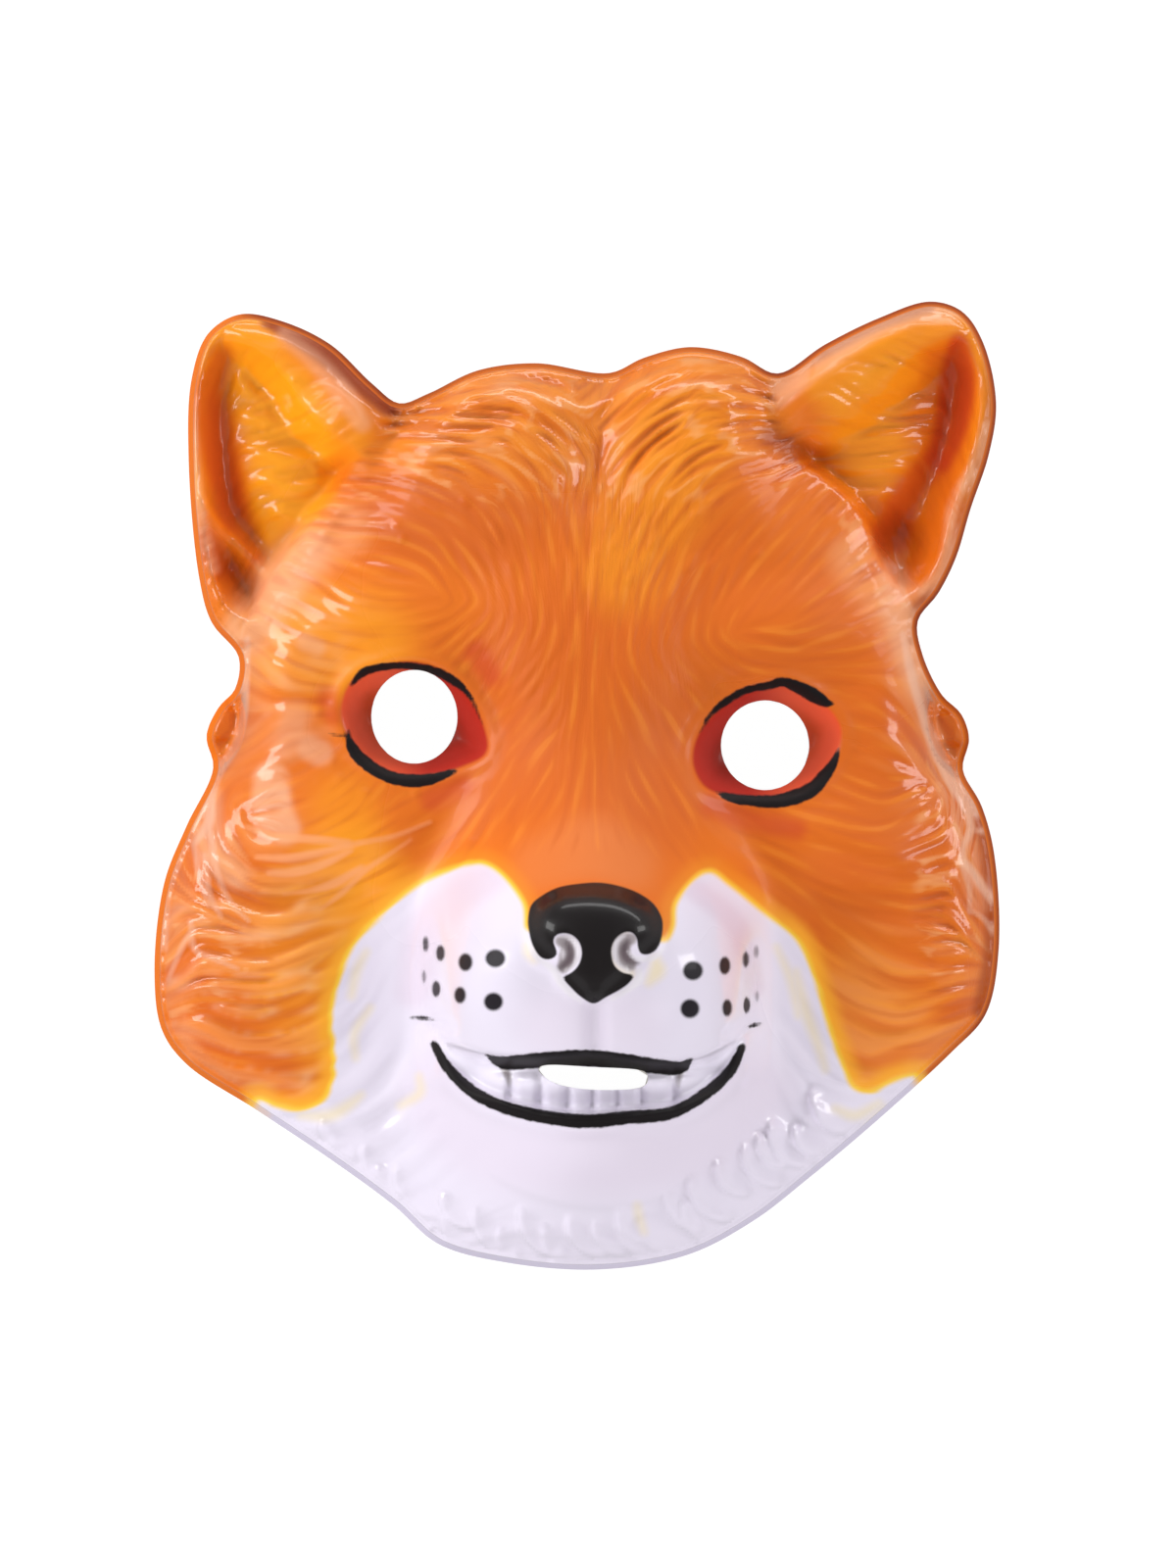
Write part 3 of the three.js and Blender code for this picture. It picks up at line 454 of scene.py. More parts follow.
face = with_eye(with_eye(face, in_eye_left, HOLE_LEFT), in_eye_right, HOLE_RIGHT)
print("eye holes", 2 * HOLE_LEFT[2], "and", 2 * HOLE_RIGHT[2], "mm wide")

# %% [markdown]
# ## Ears and tabs
# An ear is a plate that lies lower than the crown, with a hollow bowl, a rounded edge and tufts of
# fur across the bowl. The two tabs at the temples hold the ends of an elastic band, and each has a
# small square boss. They could be separate plates, but they are one sheet with the head, so they get
# heights of their own that are joined to the head's in the next step.

# %% Ridges and hollows of the ears
EAR_SWELLINGS_LEFT = [(-46, 74, 14, 11, -55, 4), (-60, 63, 15, 22, 30, 3.4)]
EAR_SWELLINGS_RIGHT = [(46, 79, 17, 9, 35, 4.5), (60, 67, 16, 20, -35, 3.4), (65, 49, 7, 9, 0, -2.5)]
EAR_CREASES_LEFT = [
    ([(-36, 71), (-45, 79), (-56, 88.5), (-67, 94)], 3.2, 2.6),
    ([(-74.2, 93), (-75, 83), (-74, 70), (-71.4, 59), (-66.4, 49), (-62, 40)], 3.2, -2),
    ([(-75, 94), (-78.2, 84), (-78.6, 70), (-77.6, 57), (-75.6, 46), (-73, 37), (-69, 31)], 1.1, 1.7),
    ([(-79.5, 64), (-75.5, 55.8), (-71, 50.4), (-66.5, 45.6), (-62, 39)], 1.9, 3.6),
    ([(-77, 52), (-73.5, 45.5), (-69, 39.5), (-66, 36)], 2.4, -1.2),
    ([(-72, 88), (-67, 80), (-60, 76)], 1.8, 1.3),
    ([(-71, 77), (-62, 73.5), (-53, 71.5)], 1.8, 1.3),
    ([(-70, 70), (-60, 66.5), (-48, 66.5)], 1.8, 1.3),
    ([(-67, 63.5), (-58, 60.5), (-50, 61.5)], 1.8, 1.3),
    ([(-64, 57), (-58, 54.5), (-52, 56)], 1.8, 1.2),
]
EAR_CREASES_RIGHT = [
    ([(82.6, 88), (82.6, 76), (79.6, 65), (76, 55), (73.6, 46), (69.4, 38.6)], 1.1, 1.4),
    ([(38, 76), (48, 84), (60, 90.5), (74, 95.5)], 3.6, 2.6),
    ([(77.6, 92), (77.4, 82), (75.4, 71), (70.5, 61), (66, 52.5), (63, 44)], 3.8, -2.2),
    ([(72, 86), (66, 80.5), (58, 79)], 1.8, 1.2),
    ([(72, 79.5), (62, 75), (50, 73.5)], 1.8, 1.3),
    ([(71, 73), (60, 70), (45, 69.5)], 1.8, 1.3),
    ([(68, 66.5), (58, 65), (46, 65.5)], 1.8, 1.3),
    ([(64, 60), (57, 59), (51, 60.5)], 1.8, 1.2),
]
print("tufts and folds", len(EAR_CREASES_LEFT) + len(EAR_CREASES_RIGHT))

# %% Ears
EAR_PLATE = 22.5
EAR_SLOPE = 0.06
EAR_FOOT = 50  # y above which the plate gets lower
EAR_BOWL = 9
BOWL_EASE = (-1.5, 6)  # distances inside the bowl's edge over which it sinks
EAR_EDGE = (5, 7)  # fall and width of the rounded edge


def ear(in_bowl, swellings, creases):
    """An ear: a plate with a bowl, a rounded edge and tufts"""
    plate = EAR_PLATE - EAR_SLOPE * np.maximum(0, Y - EAR_FOOT)
    bowl = EAR_BOWL * ease(*BOWL_EASE, in_bowl)
    rounded = EAR_EDGE[0] * (1 - np.clip(in_outline / EAR_EDGE[1], 0, 1)) ** DOME_POWER
    return plate - bowl - rounded + swell(swellings) + crease(creases)


ears = np.where(
    X < 0,
    ear(in_bowl_left, EAR_SWELLINGS_LEFT, EAR_CREASES_LEFT),
    ear(in_bowl_right, EAR_SWELLINGS_RIGHT, EAR_CREASES_RIGHT),
)
print("ears up to", round(float(ears[in_outline > 0].max()), 1), "mm")

# %% Tabs
TAB_HEIGHT = 3.5
TAB_PAD_RISE = 2
TAB_PADS = ((-72.7, 12.6, 1.7, 2.5), (75.3, 11.6, 1.7, 2.5))  # middle and half sizes
TAB_PAD_EDGE = 1.4
boss = np.zeros(X.shape)
for cx, cy, half_x, half_y in TAB_PADS:
    outside = np.maximum(np.abs(X - cx) - half_x, np.abs(Y - cy) - half_y)
    boss = np.maximum(boss, ease(TAB_PAD_EDGE, 0, outside))
tabs = TAB_HEIGHT + TAB_PAD_RISE * boss
print("tabs up to", float(tabs.max()), "mm")

# %% [markdown]
# ## Joining head, ears and tabs
# The head stands in front of its ears and tabs, with a short steep step between them, and it is
# rounded off towards its own edge. A soft maximum of both heights makes the step without a seam.
# The same cell says where the sheet ends: at the outline less the draft of the side walls, at the
# two eye holes and at the slot of the mouth.

# %% One height for the whole sheet
NEAR_EAR = ((24, 42), (26, 46))  # y, and distance from the middle, over which an ear is reached
EDGE_DROP = (9, 5)  # along cheeks and crown, and beside ears and chin
CHIN_FADE = (-70, -86)  # y over which the rounding lessens to the chin
EDGE_WIDE = 10
EAR_JOIN_EXTRA = 12
TAB_TOP = (30, 24)  # y over which an ear gives way to a tab
CLIFF = (-2.4, 0.3)  # distances inside the head's edge over which it rises from the ears
JOIN_SOFT = 1.5
near_ear = ease(*NEAR_EAR[0], Y) * ease(*NEAR_EAR[1], np.abs(X))
inward = np.clip(in_head / (EDGE_WIDE + EAR_JOIN_EXTRA * near_ear), 0, 1)
gentle = np.maximum(near_ear, ease(*CHIN_FADE, Y))
face = face - (EDGE_DROP[0] + (EDGE_DROP[1] - EDGE_DROP[0]) * gentle) * (1 - inward) ** DOME_POWER
tab_share = ease(*TAB_TOP, Y)
low = tabs * tab_share + ears * (1 - tab_share)
on_head = ease(*CLIFF, in_head)
form = low + (0.5 * (face + low + np.hypot(face - low, JOIN_SOFT)) - low) * on_head
print("form up to", round(float(form.max()), 1), "mm")

# %% Where the sheet ends
WALL_DRAFT = 2.0


def hole_level(hole):
    """Distance outside an eye hole"""
    cx, cy, rx, ry = hole
    return (np.hypot((X - cx) / rx, (Y - cy) / ry) - 1) * min(rx, ry)


sheet_level = np.minimum.reduce([
    in_outline - WALL_DRAFT, hole_level(HOLE_LEFT), hole_level(HOLE_RIGHT), -in_slot,
])
print("highest point", round(float(form[sheet_level > 0].max()), 2), "mm")

# %% [markdown]
# ## Combing the fur
# The fur is a low relief of plates, crests and hairs that all follow one flow over the face. It
# could be drawn hair by hair, but thousands of strokes would be needed. Instead the flow is given by
# short comb marks, and seeded noise is drawn out along it. Noise that is combed far and then flattened
# turns into plates with steps between them, as the cheeks have, and taking the size of finer noise
# without its sign leaves sharp crests with rounded furrows, as the crown has.

# %% Comb marks of the head
COMB_HEAD = [  # x, y, direction of the fur in degrees
    (-30, 78, 15), (-20, 83, 12), (-10, 80, -10), (-5, 75, -40), (0, 70, -50), (-8, 70, -30), (-20, 72, -3),
    (-30, 70, 0), (-10, 60, -50), (-18, 60, -35), (-28, 58, -28), (-12, 50, -70), (-18, 53, -60),
    (-5, 50, -80), (-10, 40, -85), (-25, 45, -60), (-35, 50, -18), (-43, 52, 0),
    (5, 78, 45), (10, 83, 35), (20, 87, 12), (30, 86, -12), (36, 82, -25), (20, 80, 25), (10, 75, 42),
    (30, 78, 0), (20, 72, 35), (28, 70, 15), (33, 68, 5), (10, 65, 55), (20, 62, 45), (28, 62, 30),
    (3, 60, 75), (8, 50, 70), (14, 50, 65), (24, 55, 55), (30, 50, 52), (36, 48, 45), (43, 50, 50),
    (5, 42, 80), (20, 42, 65), (30, 40, 65), (40, 40, 50), (10, 35, 85), (25, 35, 80), (0, 40, 90),
    (-52, 40, -35), (-60, 35, -30), (-66, 25, -40), (-50, 30, -10), (-35, 33, 8), (-25, 30, 40),
    (52, 38, 35), (58, 30, 25), (66, 24, 40), (50, 28, 8), (38, 28, -8), (28, 25, -40),
    (-15, 25, 58), (-8, 22, 50), (-10, 12, 45), (12, 20, -65), (15, 15, -60), (0, 20, 90), (2, 5, 88),
    (-12, 0, 60), (16, 0, -60), (-16, -10, 62), (20, -10, -62),
    (-60, -15, -3), (-50, -12, 18), (-40, -12, 25), (-35, -8, 25), (-55, -22, 15), (-50, -18, 20),
    (-78, -5, 60), (-75, -10, -75), (-72, -15, -50), (-68, -25, -25), (-70, -35, -15), (-62, -33, 5),
    (-55, -35, 25), (-70, -42, -8), (-60, -42, 15), (-54, -42, 35), (-83, -35, 50), (-80, -45, 30),
    (-75, -48, -28), (-65, -52, 5), (-60, -50, 20), (-75, -53, -25), (-58, -62, 5), (-52, -65, 15),
    (-72, 12, -20), (-65, 8, 45), (-62, 2, 10), (-50, 2, 40), (-42, -2, 55), (-54, 14, 0),
    (45, -12, -13), (38, -12, -25), (55, -15, -10), (60, -18, -15), (40, -20, -38), (45, -27, -40),
    (55, -30, -40), (60, -35, -35), (68, -38, -5), (75, -36, 15), (70, -45, 15), (60, -45, -20),
    (55, -50, -35), (65, -55, 8), (75, -50, 25), (70, -20, 15), (62, -25, -10), (72, 15, -60),
    (75, 5, -60), (78, -8, -80), (80, -20, -65), (82, -30, -60), (65, 20, -45), (55, 20, -10),
    (58, 0, -20), (66, -5, 30), (70, -12, 25),
    (-42, -38, 55), (-44, -50, 50), (-40, -62, 40), (-45, -72, 20), (-30, -75, 50), (-34, -86, 30),
    (-20, -90, 20), (-5, -93, 0), (10, -91, -10), (22, -88, -30), (34, -80, -50), (44, -72, -30),
    (42, -60, -55), (45, -48, -60), (42, -38, -60), (55, -66, -15),
]
print("comb marks of the head", len(COMB_HEAD))

# %% Comb marks of the ears, and the flow between the marks
COMB_EARS = [
    (-66, 94, -20), (-55, 88, -38), (-45, 78, -45), (-58, 83, 40), (-50, 74, 40), (-70, 84, 60),
    (-62, 76, 20), (-55, 68, 12), (-60, 60, 15), (-66, 70, 10), (-75, 70, 88), (-77, 85, 85), (-72, 55, 60),
    (-70, 42, 55), (-65, 36, 50), (74, 96, 15), (60, 91, 26), (48, 84, 36), (42, 77, 42), (66, 88, -30),
    (54, 79, -40), (68, 84, -25), (60, 78, -15), (52, 71, -5), (60, 68, 5), (68, 74, 10), (79, 80, -80),
    (76, 65, -75), (72, 52, -65), (66, 47, -60), (72, 42, -50),
]
COMB_SPREAD = 5.0  # how far one mark rules over its neighbours
TINY = 1e-12  # keeps a division or a sign away from zero


def flow_of(marks):
    """Doubled directions of the fur, blended from comb marks"""
    turn_x, turn_y = np.zeros(X.shape), np.zeros(X.shape)
    for x, y, degrees in marks:
        weight = 1 / ((X - x) ** 2 + (Y - y) ** 2 + COMB_SPREAD**2) ** 2
        turn_x += weight * math.cos(2 * math.radians(degrees))
        turn_y += weight * math.sin(2 * math.radians(degrees))
    size = np.hypot(turn_x, turn_y) + TINY
    return turn_x / size, turn_y / size


head_flow = flow_of(COMB_HEAD)
ear_flow = flow_of(COMB_EARS)
turn_x = np.where(in_head > 0, head_flow[0], ear_flow[0])
turn_y = np.where(in_head > 0, head_flow[1], ear_flow[1])
print("comb marks in all", len(COMB_HEAD) + len(COMB_EARS))

# %% Noise drawn out along the flow
SEED = 21
rng = np.random.default_rng(SEED)
COMB_STRIDE = 0.6
NOISE_BAND = 1.7  # how much coarser the noise is that is taken away from each layer
NET_END = 1.001  # keeps a reading inside the last square of the net
FUR_LAYERS = {  # size, reach of the comb
    "plates": (1.15, 12.0), "crests": (0.72, 8.0), "hairs": (0.42, 5.0), "locks": (0.55, 7.0),
}


def sample(field, x, y):
    """Value of a field of the net at any points"""
    u = np.clip((x - NET_LOW[0]) / STEP, 0, len(xs) - NET_END)
    v = np.clip((y - NET_LOW[1]) / STEP, 0, len(ys) - NET_END)
    i, j = u.astype(int), v.astype(int)
    u, v = u - i, v - j
    low = field[j, i] * (1 - u) + field[j, i + 1] * u
    high = field[j + 1, i] * (1 - u) + field[j + 1, i + 1] * u
    return low * (1 - v) + high * v


def combed(layers):
    """Seeded noise of each layer drawn out along the flow"""
    noise = {}
    for name, (size, reach) in layers.items():
        raw = rng.standard_normal(X.shape)
        noise[name] = blurred(raw, size) - blurred(raw, NOISE_BAND * size)
    total = {name: field.copy() for name, field in noise.items()}
    longest = max(reach for size, reach in layers.values())
    for way in (1, -1):
        angle = 0.5 * np.arctan2(turn_y, turn_x)
        dx, dy = way * np.cos(angle), way * np.sin(angle)
        px, py = X.copy(), Y.copy()
        for k in range(1, int(longest / COMB_STRIDE) + 1):
            px += dx * COMB_STRIDE
            py += dy * COMB_STRIDE
            angle = 0.5 * np.arctan2(sample(turn_y, px, py), sample(turn_x, px, py))
            nx, ny = np.cos(angle), np.sin(angle)
            same = np.sign(nx * dx + ny * dy + TINY)
            dx, dy = nx * same, ny * same
            for name, (size, reach) in layers.items():
                run = k * COMB_STRIDE / reach
                if run < 1:
                    total[name] += sample(noise[name], px, py) * math.cos(run * math.pi / 2)
    return {name: field / field.std() for name, field in total.items()}


fur = combed(FUR_LAYERS)
print("combed", list(fur))

# %% Plates, crests and hairs
PLATE_FLAT = 2.6  # how hard the plates are flattened
PLATE_SOFT = 0.42  # softening of the steps between them
LINE_WIDE = 0.24
LINE_SOFT = 0.4
CREST_TOP = 0.8
CREST_ROUND = 0.04
HAIR_SHARE = 0.5
plates = blurred(np.tanh(PLATE_FLAT * fur["plates"]), PLATE_SOFT)
plate_lines = blurred(np.exp(-((fur["plates"] / LINE_WIDE) ** 2)), LINE_SOFT)
crests = CREST_TOP - np.sqrt(fur["crests"] ** 2 + CREST_ROUND)
hairs = fur["hairs"] * HAIR_SHARE
print("plates between", round(float(plates.min()), 2), "and", round(float(plates.max()), 2))

# %% A field that rises across the fur
FINE_AGREED = (0.8, 0.97)  # agreement with the comb over which fine hairs are let in


def across_fur(flow, lead_x, lead_y):
    """A field that rises across the fur, in millimetres, so its level lines run with the fur"""
    angle = 0.5 * np.arctan2(flow[1], flow[0])
    way = np.sign(np.cos(angle) * lead_x + np.sin(angle) * lead_y + TINY)
    across = np.fft.rfftfreq(X.shape[1], STEP)[None, :]
    up = np.fft.fftfreq(X.shape[0], STEP)[:, None]
    rise = across * np.fft.rfft2(-way * np.sin(angle)) + up * np.fft.rfft2(way * np.cos(angle))
    return np.fft.irfft2(-1j * rise / (2 * math.pi * np.maximum(across**2 + up**2, TINY)), X.shape)


BESIDE = (28, 40)  # distance from the middle over which the cheeks begin
CROWN = (0, 25, 45)  # where the crown begins: start and end beyond a slanting line, and that line's height
CROWN_LEAD = 30  # the crown's fur leads up, the lower cheeks' down
CHEEK_LEAD = (60, 10, -10)
SIDE_LEAD = 3
EAR_LEAD = 0.5
beside = ease(*BESIDE, np.abs(X))
crown_or_cheek = np.maximum(beside, ease(*CROWN[:2], np.abs(X) + Y - CROWN[2]))
lead_down = CHEEK_LEAD[0] * beside * ease(*CHEEK_LEAD[1:], Y)
across_head = across_fur(head_flow, SIDE_LEAD * X * crown_or_cheek, CROWN_LEAD - lead_down)
across_ears = across_fur(ear_flow, np.sign(X), EAR_LEAD)
fur_across = np.where(in_head > 0, across_head, across_ears)
slope_y, slope_x = np.gradient(fur_across, STEP)
turn = 0.5 * np.arctan2(turn_y, turn_x)
agreed = np.abs(slope_y * np.cos(turn) - slope_x * np.sin(turn)) / (np.hypot(slope_x, slope_y) + TINY)
print("agrees with the comb on", round(float((agreed > FINE_AGREED[0]).mean()), 2), "of the net")

# %% [markdown]
# ## Depth of the fur
# Fur is deep on the cheeks, fine on the crown and bridge, and leaves muzzle, lids, lips and nose
# smooth. A painted weight map could say so, but soft ovals do it with a few numbers that stay
# readable: each row says how deep a layer is in one area.

# %% Depth of each layer
SMOOTH_AREA = [
    (-19, -16), (-29, -24), (-34, -34), (-35, -48), (-33, -58), (-26, -68), (-20, -80), (-8, -86), (8, -87),
    (22, -80), (31, -68), (37, -58), (39, -48), (38, -34), (33, -25), (26, -18), (16, -16), (3, -15),
    (-10, -15),
]
PLATE_DEPTH = [  # x, y, half width, half height, turn in degrees, depth
    (-70, -38, 34, 44, 0, 0.62), (66, -46, 34, 34, 0, 0.34), (-62, 20, 24, 32, 0, 0.26),
    (70, 12, 18, 34, 0, 0.36), (-44, -72, 40, 26, 30, 0.4), (46, -68, 38, 26, -30, 0.34),
    (0, 76, 64, 34, 0, 0.2), (0, -94, 50, 16, 0, 0.3),
]
CREST_DEPTH = [
    (0, 86, 84, 36, 0, 0.85), (-34, 62, 28, 26, 0, 0.16), (-82, -16, 18, 50, 0, 0.6),
    (80, -14, 18, 54, 0, 0.75), (2, -92, 60, 20, 0, 0.2), (16, 52, 46, 42, 0, 0.16),
    (-72, -32, 26, 34, 0, 0.3), (-50, 30, 30, 24, 0, 0.12), (54, 26, 30, 24, 0, 0.12),
]
HAIR_DEPTH = [(0, 50, 100, 70, 0, 0.14), (-60, -10, 40, 80, 0, 0.08), (62, -10, 40, 80, 0, 0.06)]
HAIR_LEAST = 0.05
COLLAR = (11, 1, 0.34)  # crests of the head along an ear: where they start and are full, their depth
EAR_CRESTS = 0.32
EAR_HAIRS = 0.1
print("areas of fur", len(PLATE_DEPTH) + len(CREST_DEPTH) + len(HAIR_DEPTH))

# %% Fur over the face
SMOOTH_EASE = (2, -5)  # distances inside the smooth area, the lids and the outline over which fur comes in
LID_EASE = (-1.0, -4.5)
RIM_EASE = (0.2, 3)
EAR_RIM_EASE = (0.5, 3)
in_smooth = inside_of(SMOOTH_AREA)
in_lids = np.maximum(in_eye_left, in_eye_right)
furred = ease(*SMOOTH_EASE, in_smooth) * ease(*LID_EASE, in_lids) * ease(*RIM_EASE, in_outline)
ear_share = (1 - on_head) * (1 - tab_share)
face_share = on_head * furred
plate_depth = swell(PLATE_DEPTH) * face_share
crest_depth = (swell(CREST_DEPTH) + COLLAR[2] * ease(*COLLAR[:2], in_head) * near_ear) * face_share
crest_depth += EAR_CRESTS * ear_share * ease(*EAR_RIM_EASE, in_outline)
hair_depth = (HAIR_LEAST + swell(HAIR_DEPTH)) * face_share + EAR_HAIRS * ear_share
fur_relief = plate_depth * plates + crest_depth * crests + hair_depth * hairs
print("fur between", round(float(fur_relief.min()), 2), "and", round(float(fur_relief.max()), 2), "mm")

# %% [markdown]
# ## Single strands, curls and proud hairs
# Some hairs stand out one by one on the real mask: the long strands beside the eyes, the glossy
# crests along both cheeks' outer edges, overlapping curls on the jaw, the edge of the chin and short
# proud hairs on the crown. The pale colour of the strands and crests is painted highlight. Noise
# can't put a hair in its place, so these are drawn as strokes that taper, as with a brush.

# %% Brushed strands and sheen crests
# Raised strands; their pale colour in the material is painted highlight.
STRANDS = [  # strokes of x, y, half width
    [(-68, -8.4, 0.4), (-63, -10.4, 0.8), (-55, -11, 0.8), (-47, -11.6, 0.5)],
    [(-66, -14.7, 0.4), (-60, -14.9, 0.8), (-54, -14, 0.8), (-46, -12, 0.5), (-38.3, -10.5, 0.4),
     (-30.4, -7.5, 0.3)],
    [(-63.4, -18, 0.5), (-58, -17.7, 0.9), (-52, -16, 0.8), (-46.5, -13.3, 0.4)],
    [(-60.5, -22.2, 0.2), (-55, -21.5, 0.5), (-50, -20, 0.9), (-44.4, -16.7, 0.5)],
    [(-53, -25.4, 0.2), (-48.5, -22, 0.5), (-43.9, -17.5, 0.5), (-38, -13.5, 0.3), (-34.4, -11, 0.2)],
]
STRAND_RISE = 0.4
STRAND_EASE = (-0.5, 0.6)
# Raised crests along the cheeks' edges; their pale colour in the material is painted highlight.
SHEEN_CRESTS = [  # strokes of x, y, half width along both cheeks' outer edges
    [(65.8, 31, 0.4), (67.2, 24, 0.8), (69, 17.2, 0.8), (73.2, 6, 1.2), (77.6, -2.2, 1.1),
     (80.5, -5.4, 0.8), (83.1, -7.5, 0.3)],
    [(77.6, -2.2, 0.8), (79.6, -8.6, 0.6), (78.2, -12.7, 0.5), (78, -16, 0.5), (79.4, -21, 0.3),
     (79.4, -25.9, 0.2)],
    [(79.6, -8.6, 0.2), (82.4, -10, 0.3), (83.6, -12.6, 0.2), (83.8, -16.5, 0.1)],
    [(78, -15, 0.5), (81.2, -19.5, 0.8), (82.8, -22, 0.6), (84.2, -24.4, 0.3)],
    [(79.4, -25.4, 0.2), (82.7, -27.7, 0.3), (84.6, -31.5, 0.2)],
    [(-67.8, 30, 0.4), (-68.2, 22.5, 0.6), (-68.6, 15, 0.6), (-70.4, 8, 0.7), (-73.6, 3, 0.8),
     (-75.4, -1.5, 1), (-75.7, -7.5, 0.9), (-78.7, -12, 0.4)],
    [(-74.6, 0, 0.4), (-76.1, -6, 0.5), (-75, -12, 0.5), (-73.9, -18, 0.4), (-71.2, -24, 0.3),
     (-67.5, -27.7, 0.2)],
    [(-78.7, -7.5, 0.3), (-81.7, -15, 0.4), (-84, -22.5, 0.3), (-84.6, -33.7, 0.2)],
    [(-76.5, -14.2, 0.3), (-75.4, -22.5, 0.4), (-73.1, -27, 0.2)],
    [(-78.7, -12, 0.3), (-77.6, -18.7, 0.4), (-75.7, -24.7, 0.2)],
    [(-78.7, -29.2, 0.3), (-80.6, -32, 0.4), (-82.5, -36, 0.3), (-84, -39.7, 0.2)],
    [(-79.5, -27.7, 0.3), (-78.4, -33.7, 0.4), (-75, -35.2, 0.3), (-69.7, -37.5, 0.2)],
]
SHEEN_CREST_RISE = 0.25
SHEEN_CREST_EASE = (-0.6, 0.6)
SHEEN_CREST_RIM = (0, 2)
STROKE_REACH = 3


def riding(line, share, values):
    """What rides along a line, such as a width, at shares of its length"""
    run = np.concatenate([[0], np.cumsum(np.hypot(*np.diff(line[:, :2], axis=0).T))])
    return np.interp(share * run[-1], run, values)


def brushed(strokes, far=6.0, step=0.5):
    """Distance inside tapered brush strokes, followed as far as far outside them"""
    level = np.full(X.shape, -float(far))
    for marks in strokes:
        line = smooth_line(marks, step=step)
        window = near(line, far)
        distance, share = nearest(X[window], Y[window], line)
        level[window] = np.maximum(level[window], riding(line, share, line[:, 2]) - distance)
    return level


strand_edge = brushed(STRANDS, STROKE_REACH)
sheen_crest_edge = brushed(SHEEN_CRESTS, STROKE_REACH)
strands = STRAND_RISE * ease(*STRAND_EASE, strand_edge)
strands = strands + SHEEN_CREST_RISE * ease(*SHEEN_CREST_EASE, sheen_crest_edge) * ease(*SHEEN_CREST_RIM, in_outline)
print("strands", len(STRANDS), "worn crests", len(SHEEN_CRESTS))

# %% Curls of jaw and chin
CURL_ROW = [(-48, -68), (-38, -76), (-24, -86), (-6, -90), (12, -90), (28, -84), (43, -74), (56, -63)]
CURL_GAP = 5.5  # between the curls of the row
CURL_RADIUS = (5.0, 8.5)
CURL_TURN = (160, 290)  # first and last degrees of a curl's edge
CURL = (1.9, 5.0, 0.5)  # rise at a curl's edge, width of the rise behind it, width of the step before it
CHIN_EDGE = [(-22, -75), (-15, -80.4), (0, -85.2), (15, -83.5), (24, -76)]
CHIN_FLAP = (0.7, 12, 1.2)  # the same for the chin
CURL_SHIFT = 2.5
CURL_RIM = (0, 4)  # distances over which curls come in at the outline and end at the smooth area
CURL_END = (3, -1)
CURL_FADE = (0, 0.15)


def curl_edges(edges, rise, width, step):
    """Flaps that rise gently to an edge and step down beyond it, with the flap on the edge's left"""
    relief = np.zeros(X.shape)
    for marks in edges:
        line = smooth_line(marks)
        window = near(line, width)
        distance, share = nearest(X[window], Y[window], line)
        at_x, at_y = [riding(line, share, line[:, k]) for k in (0, 1)]
        way_x, way_y = [riding(line, share, np.gradient(line[:, k])) for k in (0, 1)]
        behind = way_x * (Y[window] - at_y) - way_y * (X[window] - at_x) > 0
        before = np.exp(-((distance / step) ** 2))
        flap = np.where(behind, np.clip(1 - distance / width, 0, 1) ** 2, before)
        ends = ease(*CURL_FADE, share) * ease(*CURL_FADE, 1 - share)
        relief[window] = np.maximum(relief[window], rise * flap * ends)
    return relief


def arc(cx, cy, radius, first, last, marks=7):
    """Points along an arc"""
    turns = np.radians(np.linspace(first, last, marks))
    return [(cx + radius * math.cos(turn), cy + radius * math.sin(turn)) for turn in turns]


curl_marks = []
for x, y in smooth_line(CURL_ROW, step=CURL_GAP):
    shift = rng.uniform(-CURL_SHIFT, CURL_SHIFT, 2)
    curl_marks.append(arc(x + shift[0], y + shift[1], rng.uniform(*CURL_RADIUS), *CURL_TURN))
curls = curl_edges(curl_marks, *CURL) * ease(*CURL_RIM, in_outline) * ease(*CURL_END, in_smooth)
chin = curl_edges([CHIN_EDGE], *CHIN_FLAP)
print("curls", len(curl_marks))

# %% Proud hairs, and the whole relief
PROUD_HAIRS = [  # x, y, length, direction in degrees
    (5.6, 52.3, 1.2, 80), (15.3, 49.8, 4.5, 62), (26.3, 57.9, 2, 60), (23.4, 55.1, 2.4, 50),
    (22.5, 45.1, 5, 62), (26, 44.8, 3, 70), (36, 47, 3.4, 45), (3.1, 47, 2.6, 85), (6.9, 48.9, 1.6, 70),
    (10, 42, 3, 75), (7, 38, 3, 80), (-23.4, 57.6, 2.6, -45), (-30.5, 56.6, 7, -25), (-17, 51.5, 6, -66),
    (-14, 44, 5, -74), (-37.2, 53.2, 1.6, -30), (-36.2, 50.1, 1.4, -20), (30.3, 76.7, 2.6, 0),
    (34, 75.8, 2.6, 40), (37.8, 67.6, 3, -35), (40.6, 65.1, 1.4, -60), (-64.3, 76.2, 1.6, 80),
    (-64.3, 72.6, 2, 75), (-54.1, 64.6, 3.6, -50), (68.9, 82.3, 1.6, 30), (65.1, 79.3, 1.8, 60),
    (58.5, 71, 7, 2), (69.7, 69, 1.6, 70), (58.9, 48.7, 1.8, 60), (68, 42.9, 1.6, 50), (-58.6, 82.4, 2, 50),
    (-53.5, 14.6, 3, 85), (-50.5, 4.6, 2, 50), (-49.2, 1.6, 2, 40), (-44, -1.5, 2.4, 10),
    (-33.5, -1.6, 2, 0),
]
PROUD_HAIR = (0.55, 0.5)  # half width and rise
PROUD_FADE = 0.3


def short_line(x, y, length, degrees):
    """A straight stroke round its middle"""
    dx, dy = 0.5 * length * math.cos(math.radians(degrees)), 0.5 * length * math.sin(math.radians(degrees))
    return [(x - dx, y - dy), (x, y), (x + dx, y + dy)]


